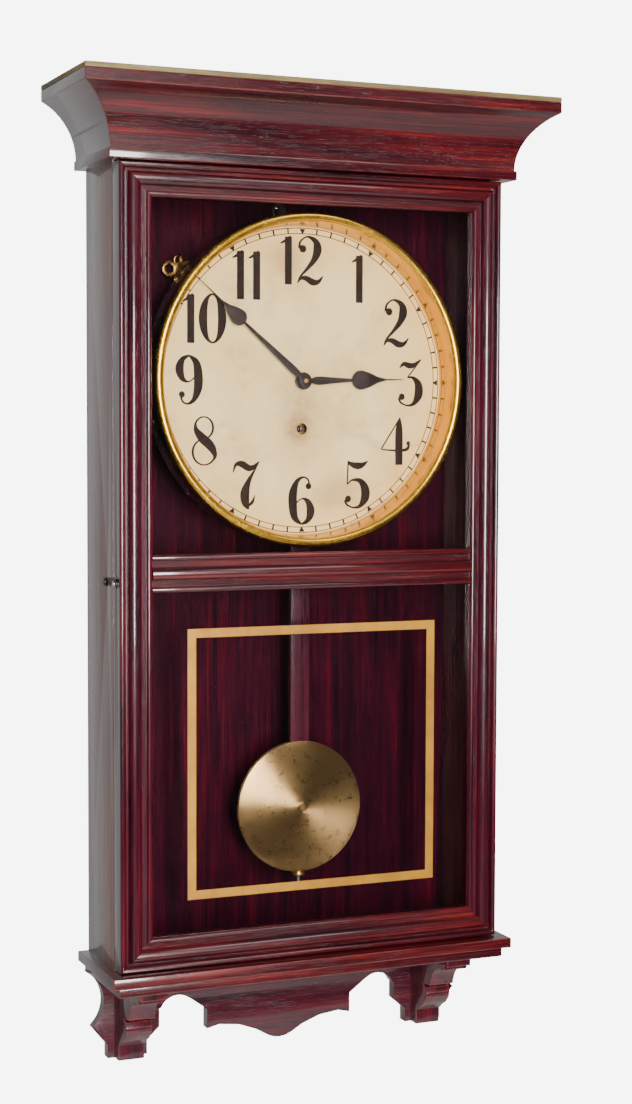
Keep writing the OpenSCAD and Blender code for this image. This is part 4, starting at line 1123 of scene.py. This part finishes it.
SIX = Digit(
    0.57,
    (
        Stroke((
            (0.455, 0.83, 0.02), (0.42, 0.94, 0.018), (0.31, 0.985, 0.02),
            (0.18, 0.90, 0.045), (0.095, 0.68, 0.08),
            (0.085, 0.42, 0.085), (0.13, 0.16, 0.065), (0.28, 0.018, 0.018),
        )),
        Stroke((
            (0.28, 0.018, 0.018), (0.42, 0.10, 0.05), (0.485, 0.28, 0.08),
            (0.43, 0.47, 0.055), (0.30, 0.545, 0.016),
            (0.17, 0.46, 0.014), (0.13, 0.36, 0.012),
        )),
    ),
    ((0.435, 0.80, 0.066),),
)
DIGITS: dict[str, Digit] = {
    "0": Digit(0.58, (ellipse(0.29, 0.5, 0.205, 0.482, 0.018, 0.082),)),
    "1": Digit(
        0.25,
        (
            Stroke(((0.175, 0.0, 0.07), (0.175, 0.97, 0.07))),
            Stroke(((0.22, 0.985, 0.015), (0.13, 0.90, 0.03), (0.0, 0.83, 0.012))),
        ),
    ),
    "2": Digit(
        0.62,
        (
            Stroke((
                (0.07, 0.74, 0.03), (0.09, 0.88, 0.02), (0.24, 0.982, 0.018),
                (0.42, 0.90, 0.055), (0.47, 0.73, 0.085),
                (0.40, 0.53, 0.06), (0.24, 0.33, 0.032), (0.09, 0.17, 0.02), (0.03, 0.04, 0.012),
            )),
            Stroke((
                (0.03, 0.03, 0.008), (0.10, 0.13, 0.028), (0.22, 0.135, 0.05),
                (0.36, 0.065, 0.062), (0.49, 0.075, 0.04),
                (0.60, 0.20, 0.008),
            )),
        ),
        ((0.145, 0.735, 0.078),),
    ),
    "3": Digit(
        0.63,
        (
            Stroke((
                (0.07, 0.80, 0.01), (0.17, 0.885, 0.04), (0.30, 0.85, 0.055), (0.42, 0.875, 0.04),
                (0.57, 0.99, 0.008),
            )),
            Stroke(((0.565, 0.98, 0.013), (0.25, 0.60, 0.013))),
            Stroke((
                (0.25, 0.60, 0.013), (0.38, 0.60, 0.03), (0.505, 0.46, 0.075),
                (0.51, 0.24, 0.085), (0.40, 0.06, 0.04),
                (0.25, 0.018, 0.018), (0.10, 0.08, 0.02), (0.06, 0.18, 0.03),
            )),
        ),
        ((0.125, 0.20, 0.07),),
    ),
    "4": Digit(
        0.70,
        (
            Stroke(((0.43, 0.0, 0.075), (0.43, 0.70, 0.075), (0.445, 0.99, 0.015))),
            Stroke(((0.45, 0.985, 0.014), (0.02, 0.335, 0.014))),
            Stroke((
                (0.02, 0.325, 0.010), (0.22, 0.31, 0.016), (0.45, 0.30, 0.022), (0.62, 0.335, 0.032),
                (0.665, 0.44, 0.02),
            )),
        ),
        ((0.645, 0.455, 0.045),),
    ),
    "5": Digit(
        0.62,
        (
            Stroke((
                (0.12, 0.985, 0.012), (0.20, 0.92, 0.045), (0.34, 0.885, 0.065), (0.46, 0.91, 0.045),
                (0.58, 0.99, 0.008),
            )),
            Stroke(((0.125, 0.98, 0.016), (0.105, 0.50, 0.013))),
            Stroke((
                (0.105, 0.50, 0.012), (0.22, 0.59, 0.02), (0.40, 0.57, 0.05),
                (0.51, 0.41, 0.085), (0.51, 0.22, 0.085),
                (0.40, 0.055, 0.04), (0.25, 0.018, 0.018), (0.10, 0.08, 0.02), (0.06, 0.18, 0.03),
            )),
        ),
        ((0.125, 0.20, 0.07),),
    ),
    "6": SIX,
    "7": Digit(
        0.62,
        (
            Stroke((
                (0.03, 0.76, 0.01), (0.09, 0.92, 0.032), (0.22, 0.93, 0.062), (0.37, 0.85, 0.06),
                (0.48, 0.88, 0.038), (0.60, 0.99, 0.008),
            )),
            Stroke((
                (0.595, 0.98, 0.010), (0.48, 0.78, 0.022), (0.36, 0.57, 0.05),
                (0.285, 0.34, 0.088), (0.30, 0.14, 0.075),
                (0.37, 0.01, 0.015),
            )),
            Stroke(((0.34, 0.07, 0.02), (0.45, 0.16, 0.03), (0.50, 0.30, 0.006))),
        ),
    ),
    "8": Digit(
        0.58,
        (
            ellipse(0.28, 0.765, 0.195, 0.218, 0.014, 0.022),
            ellipse(0.285, 0.275, 0.245, 0.258, 0.014, 0.022),
            Stroke((
                (0.10, 0.86, 0.016), (0.115, 0.72, 0.05), (0.24, 0.56, 0.085), (0.40, 0.42, 0.085),
                (0.51, 0.24, 0.05), (0.50, 0.12, 0.016),
            )),
        ),
    ),
    "9": SIX.turned(),
}


MINUTES = 60


@dataclass
class Dial:
    """The dial's paper and print, its bezel, and the hands over it."""

    numeral_h: float = 48.0 * MM
    numeral_r: float = 118.0 * MM
    letter_gap: float = 0.10
    weight: float = 1.12
    film: float = 0.05 * MM
    layer: float = 0.006 * MM
    track_outer: float = 149.3 * MM
    track_inner: float = 144.0 * MM
    line_w: float = 0.8 * MM
    bar_w: float = 1.7 * MM
    hand_edge: float = 0.2 * MM
    bezel_edge: float = 0.12 * MM
    bezel_step: float = 2.3 * MM
    bezel_lip: float = 5.5 * MM
    nut_edge: float = 0.15 * MM
    centre: Vector = field(default_factory=lambda: sum(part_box("dial_paper"), Vector()) / 2)
    face: float = field(default_factory=lambda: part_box("dial_paper")[0].y)

    def build(self) -> None:
        """Makes the print and dresses the dial and hands."""
        low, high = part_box("dial_paper")
        paper = DialPaper("aged_dial_paper", (self.centre.x, self.centre.z), (high.x - low.x) / 2)
        Planed("dial_paper", "case", paper, "dial_paper").build()
        dress(("dial_plate",), ZINC)
        dress(("dial_posts",), INSIDE)
        Planed("bezel", "case", self.bezel_brass(), "spun_brass", self.bezel_edge, rings=True).build()
        Planed("hour_hand", "hour_pipe", HAND_STEEL, "hand_steel", self.hand_edge).build()
        Planed("minute_hand", "centre_arbor", HAND_STEEL, "hand_steel", self.hand_edge).build()
        Planed("hand_nut", "centre_arbor", HAND_STEEL, "movement_brass", self.nut_edge).build()
        self.print_numerals()
        self.print_track()

    def bezel_brass(self) -> SpunBrass:
        """The bezel's finish, with its painted shade fitted to the outer wall behind the lip.

        Returns:
            The finish.
        """
        low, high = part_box("bezel")
        return SpunBrass(
            "gold_brass", wall_r=(high.x - low.x) / 2 - self.bezel_step, front_y=low.y + self.bezel_lip,
            centre=(self.centre.x, self.centre.z),
        )

    def print_numerals(self) -> None:
        """Makes the twelve numerals, upright round the dial."""
        bm = bmesh.new()
        for hour in range(1, 13):
            turn = 2 * math.pi * hour / 12
            out = Vector((math.sin(turn), math.cos(turn))) * self.numeral_r
            middle = Vector((self.centre.x, self.centre.z)) + out
            digits = [DIGITS[d] for d in str(hour)]
            width = sum(d.width for d in digits) + self.letter_gap * (len(digits) - 1)
            x = -width / 2
            for digit in digits:
                self.print_digit(bm, digit, middle + Vector((x, -0.5)) * self.numeral_h)
                x += digit.width + self.letter_gap
        piece("dial_numerals", mesh_of("dial_numerals", bm), Ink("ink"), "case")

    def print_digit(self, bm: bmesh.types.BMesh, digit: Digit, corner: Vector) -> None:
        """Adds one digit.

        Args:
            bm: The mesh.
            digit: The digit.
            corner: Its lower left corner.
        """
        for depth, stroke in enumerate(digit.strokes, start=1):
            self.print_stroke(bm, stroke, corner, self.face - self.film - depth * self.layer)
        ring = [Vector((math.cos(a), math.sin(a))) for a in (2 * math.pi * i / 24 for i in range(24))]
        for x, y, r in digit.balls:
            edge = [corner + (Vector((x, y)) + way * r) * self.numeral_h for way in ring]
            prism(bm, [(p.x, p.y) for p in edge], self.face, self.face - self.film)

    def print_stroke(self, bm: bmesh.types.BMesh, stroke: Stroke, corner: Vector, front: float) -> None:
        """Adds one stroke as a row of short closed quads.

        Args:
            bm: The mesh.
            stroke: The stroke.
            corner: The digit's lower left corner.
            front: The Y of the stroke's face.
        """
        size = self.numeral_h
        line = stroke.samples()
        count = len(line)
        left, right = [], []
        for i, (at, half) in enumerate(line):
            if stroke.closed:
                ahead = line[(i + 1) % count][0] - line[i - 1][0]
            else:
                ahead = line[min(i + 1, count - 1)][0] - line[max(i - 1, 0)][0]
            across = Vector((-ahead.y, ahead.x)).normalized() * half * self.weight
            left.append(corner + (at + across) * size)
            right.append(corner + (at - across) * size)
        spans = count if stroke.closed else count - 1
        back = self.face
        rows = [
            [bm.verts.new((p.x, y, p.y)) for p, y in ((a, back), (b, back), (b, front), (a, front))]
            for a, b in zip(left, right)
        ]
        for i in range(spans):
            first, second = rows[i], rows[(i + 1) % count]
            for k in range(4):
                bm.faces.new((first[k], second[k], second[(k + 1) % 4], first[(k + 1) % 4]))
        if not stroke.closed:
            bm.faces.new(rows[0])
            bm.faces.new(rows[-1][::-1])

    def print_track(self) -> None:
        """Makes the minute track: two circles with a bar at each minute and a wedge at each fifth."""
        tree = bpy.data.node_groups.new("minute_track", "GeometryNodeTree")
        tree.is_modifier = True
        face = tree.interface
        face.new_socket(name="Geometry", in_out="OUTPUT", socket_type="NodeSocketGeometry")
        sizes = {
            "Outer Radius": self.track_outer, "Inner Radius": self.track_inner, "Line Width": self.line_w,
            "Bar Width": self.bar_w, "Film": self.film,
        }
        sockets = {n: face.new_socket(name=n, in_out="INPUT", socket_type="NodeSocketFloat") for n in sizes}
        sockets["Ink"] = face.new_socket(name="Ink", in_out="INPUT", socket_type="NodeSocketMaterial")
        g = Graph(tree)
        start, end = g.add("NodeGroupInput"), g.add("NodeGroupOutput")
        outer, inner = start.outputs["Outer Radius"], start.outputs["Inner Radius"]
        film, line = start.outputs["Film"], start.outputs["Line Width"]
        joined = g.add("GeometryNodeJoinGeometry")
        for radius in (outer, inner):
            g.feed(joined.inputs[0], self.track_circle(g, radius, line, film))
        middle = g.math("MULTIPLY", g.math("ADD", outer, inner), 0.5)
        depth = g.math("SUBTRACT", outer, inner)
        bar = g.add("GeometryNodeMeshCube")
        size = g.add("ShaderNodeCombineXYZ")
        for socket, value in zip(size.inputs, (depth, start.outputs["Bar Width"], film)):
            g.feed(socket, value)
        g.feed(bar.inputs["Size"], size.outputs[0])
        wedge = g.add("GeometryNodeMeshCylinder")
        wedge.inputs["Vertices"].default_value = 3
        g.feed(wedge.inputs["Radius"], g.math("MULTIPLY", depth, 0.68))
        g.feed(wedge.inputs["Depth"], film)
        turned = g.add("GeometryNodeTransform")
        g.feed(turned.inputs["Geometry"], wedge.outputs["Mesh"])
        turned.inputs["Rotation"].default_value = (0.0, 0.0, math.radians(180.0))
        fifth = g.math("LESS_THAN", g.math("MODULO", g.add("GeometryNodeInputIndex").outputs[0], 5.0), 0.5)
        others = g.math("SUBTRACT", 1.0, fifth)
        for shape, chosen in ((bar.outputs["Mesh"], others), (turned.outputs[0], fifth)):
            g.feed(joined.inputs[0], self.track_marks(g, shape, middle, chosen))
        upright = g.add("GeometryNodeTransform")
        g.feed(upright.inputs["Geometry"], joined.outputs[0])
        upright.inputs["Rotation"].default_value = (math.pi / 2, 0.0, 0.0)
        g.feed(upright.inputs["Translation"], (self.centre.x, self.face - self.film / 2, self.centre.z))
        real = g.add("GeometryNodeRealizeInstances")
        g.feed(real.inputs[0], upright.outputs[0])
        dyed = g.add("GeometryNodeSetMaterial")
        g.feed(dyed.inputs["Geometry"], real.outputs[0])
        g.feed(dyed.inputs["Material"], start.outputs["Ink"])
        g.feed(end.inputs[0], dyed.outputs[0])
        values = {sockets[n].identifier: v for n, v in sizes.items()}
        values[sockets["Ink"].identifier] = Ink("ink").material()
        piece("minute_track", grown("minute_track", tree, values), Ink("ink"), "case")

    @staticmethod
    def track_circle(g: Graph, radius: object, line: object, film: object) -> bpy.types.NodeSocket:
        """A thin printed circle.

        Args:
            g: The tree's graph.
            radius: Its radius.
            line: The width of its line.
            film: The thickness of the ink.

        Returns:
            Its mesh.
        """
        circle = g.add("GeometryNodeCurvePrimitiveCircle")
        circle.inputs["Resolution"].default_value = 180
        g.feed(circle.inputs["Radius"], radius)
        section = g.add("GeometryNodeCurvePrimitiveQuadrilateral")
        g.feed(section.inputs["Width"], line)
        g.feed(section.inputs["Height"], film)
        swept = g.add("GeometryNodeCurveToMesh")
        g.feed(swept.inputs["Curve"], circle.outputs["Curve"])
        g.feed(swept.inputs["Profile Curve"], section.outputs["Curve"])
        return swept.outputs[0]

    @staticmethod
    def track_marks(g: Graph, shape: object, radius: object, chosen: object) -> bpy.types.NodeSocket:
        """One mark at each chosen minute, turned to point at the middle.

        Args:
            g: The tree's graph.
            shape: The mark's mesh, pointing along X.
            radius: How far out the marks stand.
            chosen: Which of the sixty minutes have one.

        Returns:
            The marks as instances.
        """
        places = g.add("GeometryNodeMeshCircle", fill_type="NONE")
        places.inputs["Vertices"].default_value = MINUTES
        g.feed(places.inputs["Radius"], radius)
        turn = g.add("ShaderNodeCombineXYZ")
        step = 2 * math.pi / MINUTES
        g.feed(turn.inputs["Z"], g.math("MULTIPLY", g.add("GeometryNodeInputIndex").outputs[0], step))
        marks = g.add("GeometryNodeInstanceOnPoints")
        g.feed(marks.inputs["Points"], places.outputs["Mesh"])
        g.feed(marks.inputs["Selection"], chosen)
        g.feed(marks.inputs["Instance"], shape)
        g.feed(marks.inputs["Rotation"], turn.outputs[0])
        return marks.outputs[0]


def grown(name: str, tree: bpy.types.NodeTree, values: dict[str, object]) -> bpy.types.Mesh:
    """Runs a geometry tree once and keeps its result as a plain mesh.

    Args:
        name: The mesh's name.
        tree: The geometry tree.
        values: Its inputs, by socket identifier.

    Returns:
        The mesh.
    """
    carrier = bpy.data.objects.new(f"{name}_carrier", bpy.data.meshes.new(name))
    bpy.context.scene.collection.objects.link(carrier)
    modifier = carrier.modifiers.new(name, "NODES")
    modifier.node_group = tree
    for identifier, value in values.items():
        modifier[identifier] = value
    carrier.update_tag()
    seen = carrier.evaluated_get(bpy.context.evaluated_depsgraph_get())
    mesh = bpy.data.meshes.new_from_object(seen)
    carrier.modifiers.remove(modifier)
    bpy.data.objects.remove(carrier)
    return mesh


@dataclass
class Movement:
    """The eight-day spring movement behind the dial."""

    square_edge: float = 0.1 * MM

    def build(self) -> None:
        """Dresses the plates, wheels and arbors."""
        brass = (
            "movement_back_plate", "movement_front_plate", "movement_feet", "main_wheel", "second_wheel",
            "centre_wheel", "third_wheel", "escape_wheel", "cannon_pinion", "minute_wheel", "hour_wheel",
            "suspension_post",
        )
        steel = ("movement_pillars", "mainspring", "click", "verge", "suspension_spring")
        dress(brass, CLOCK_BRASS)
        dress(steel, STEEL)
        Planed("winding_arbor", "winding_arbor", OLD_IRON, "steel", self.square_edge).build()


@dataclass
class Pendulum:
    """The wooden rod with its leader, turned brass bob and rating nut."""

    edge: float = 0.5 * MM
    nut_edge: float = 0.3 * MM

    def build(self) -> None:
        """Makes the rod, bob and nut."""
        dress(("pendulum_leader",), CLOCK_BRASS)
        Planed("pendulum_rod", "pendulum", ROD_WOOD, "rod_wood", self.edge).build()
        Planed("pendulum_bob", "pendulum", BOB_BRASS, "turned_brass", self.edge, rings=True).build()
        Planed("rating_screw", "pendulum", STEEL, "steel").build()
        Planed("rating_nut", "rating_nut", CLOCK_BRASS, "movement_brass", self.nut_edge).build()


@dataclass
class Key:
    """The winding key on its hook inside the case."""

    edge: float = 0.3 * MM

    def build(self) -> None:
        """Makes the hook and key."""
        Planed("key_hook", "case", SHADED_KEY_BRASS, "movement_brass").build()
        Planed("winding_key", "key", SHADED_KEY_BRASS, "movement_brass", self.edge).build()


@dataclass
class Studio:
    """The floor, the nail that the clock hangs on, the lamps and the camera."""

    eye: Vector = field(default_factory=lambda: Vector((-0.7727, -1.90475, -0.2197)))
    yaw: float = math.radians(-23.22)
    pitch: float = math.radians(-3.45)
    roll: float = math.radians(0.19)
    lens: float = 65.8
    floor_half: float = 1.6
    floor_drop: float = 1.0
    nail_r: float = 3.7 * MM
    nail_length: float = 60.0 * MM
    nail_out: float = 2.0 * MM
    lit: Vector = field(default_factory=lambda: Vector((0.0, 0.0, -0.25)))
    backdrop: Colour = (0.925, 0.935, 0.94)
    brightness: float = 7.5

    def build(self) -> None:
        """Sets everything round the clock."""
        self.lay_floor()
        self.drive_nail()
        self.light()
        self.aim()

    def lay_floor(self) -> None:
        """Lays a pale floor well below the clock."""
        bm = bmesh.new()
        bmesh.ops.create_grid(bm, x_segments=1, y_segments=1, size=self.floor_half)
        floor = self.prop("floor", bm, Paint("floor_paint"))
        floor.location = (0.0, 0.0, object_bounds()[0].z - self.floor_drop)

    def drive_nail(self) -> None:
        """Drives the iron nail that the clock hangs on."""
        bm = bmesh.new()
        r = self.nail_r
        bmesh.ops.create_cone(bm, cap_ends=True, segments=24, radius1=r, radius2=r, depth=self.nail_length)
        for face in bm.faces:
            face.smooth = len(face.verts) == 4
        nail = self.prop("nail", bm, IRON)
        nail.rotation_euler.x = math.pi / 2
        nail.location = (0.0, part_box("back_board")[0].y - self.nail_out + self.nail_length / 2, 0.0)

    @staticmethod
    def prop(name: str, bm: bmesh.types.BMesh, finish: Finish) -> bpy.types.Object:
        """Makes an object that isn't part of the clock.

        Args:
            name: Its name.
            bm: Its shape, which is freed.
            finish: Its finish.

        Returns:
            The object.
        """
        mesh = bpy.data.meshes.new(name)
        bm.to_mesh(mesh)
        bm.free()
        mesh.materials.append(finish.material())
        made = bpy.data.objects.new(name, mesh)
        bpy.context.scene.collection.objects.link(made)
        made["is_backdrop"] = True
        return made

    def lamp(self, name: str, at: Triple, size: Point, power: float, colour: Colour) -> None:
        """Hangs a soft lamp facing the clock.

        Args:
            name: Its name.
            at: Where it hangs.
            size: Its width and height.
            power: Its power in watts.
            colour: Its colour.
        """
        data = bpy.data.lights.new(name, "AREA")
        data.shape = "RECTANGLE"
        data.size, data.size_y = size
        data.energy = power
        data.color = colour
        lamp = bpy.data.objects.new(name, data)
        bpy.context.scene.collection.objects.link(lamp)
        lamp.location = at
        lamp.rotation_mode = "QUATERNION"
        lamp.rotation_quaternion = (self.lit - Vector(at)).to_track_quat("-Z", "Y")

    def light(self) -> None:
        """Sets a pale room with a tall window in front and a fainter high one to the right.

        The backdrop is bright where the camera sees it, and through the panes, but lights the clock softly.
        """
        self.lamp("front_window", (-0.42, -2.6, -0.12), (0.5, 1.4), 130.0, (1.0, 0.985, 0.97))
        self.lamp("high_window", (0.9, -2.0, 1.6), (1.2, 0.8), 16.0, (1.0, 0.99, 0.98))
        world = bpy.data.worlds.new("room")
        bpy.context.scene.world = world
        world.use_nodes = True
        g = Graph(world.node_tree)
        shade = world.node_tree.nodes["Background"]
        way = g.add("ShaderNodeSeparateXYZ")
        g.feed(way.inputs[0], g.add("ShaderNodeTexCoord").outputs["Generated"])
        glow = g.spread(way.outputs["Y"], -0.25, 0.35, 0.05, 0.60)
        glow = g.math("MULTIPLY", glow, g.spread(way.outputs["Z"], -0.9, 0.2, 0.55, 1.0))
        ray = g.add("ShaderNodeLightPath").outputs
        bounced = g.math("ADD", ray["Diffuse Depth"], ray["Glossy Depth"])
        through = g.math("MULTIPLY", ray["Is Transmission Ray"], g.math("LESS_THAN", bounced, 0.5))
        seen = g.math("MAXIMUM", ray["Is Camera Ray"], through)
        g.feed(shade.inputs["Color"], g.mix(seen, (1.0, 1.0, 1.0), self.backdrop))
        g.feed(shade.inputs["Strength"], g.math("MAXIMUM", glow, g.math("MULTIPLY", seen, self.brightness)))

    def aim(self) -> None:
        """Sets the camera."""
        flat = math.cos(self.pitch)
        ahead = Vector((-math.sin(self.yaw) * flat, math.cos(self.yaw) * flat, math.sin(self.pitch)))
        side = Vector((math.cos(self.yaw), math.sin(self.yaw), 0.0))
        up = side.cross(ahead)
        right = side * math.cos(self.roll) + up * math.sin(self.roll)
        top = up * math.cos(self.roll) - side * math.sin(self.roll)
        data = bpy.data.cameras.new("camera")
        data.lens = self.lens
        data.sensor_width = 36.0
        data.sensor_fit = "AUTO"
        camera = bpy.data.objects.new("camera", data)
        bpy.context.scene.collection.objects.link(camera)
        turn = Matrix((right, top, -ahead)).transposed()
        camera.matrix_world = Matrix.Translation(self.eye) @ turn.to_4x4()
        bpy.context.scene.camera = camera


def main() -> None:
    """Builds the clock and the studio round it."""
    logging.basicConfig(level=logging.INFO, format="%(name)s: %(message)s")
    for part in (Case(), Cornice(), Door(), Dial(), Movement(), Pendulum(), Key(), Studio()):
        part.build()
        log.info("%s is ready", type(part).__name__)


if __name__ == "__main__":
    main()
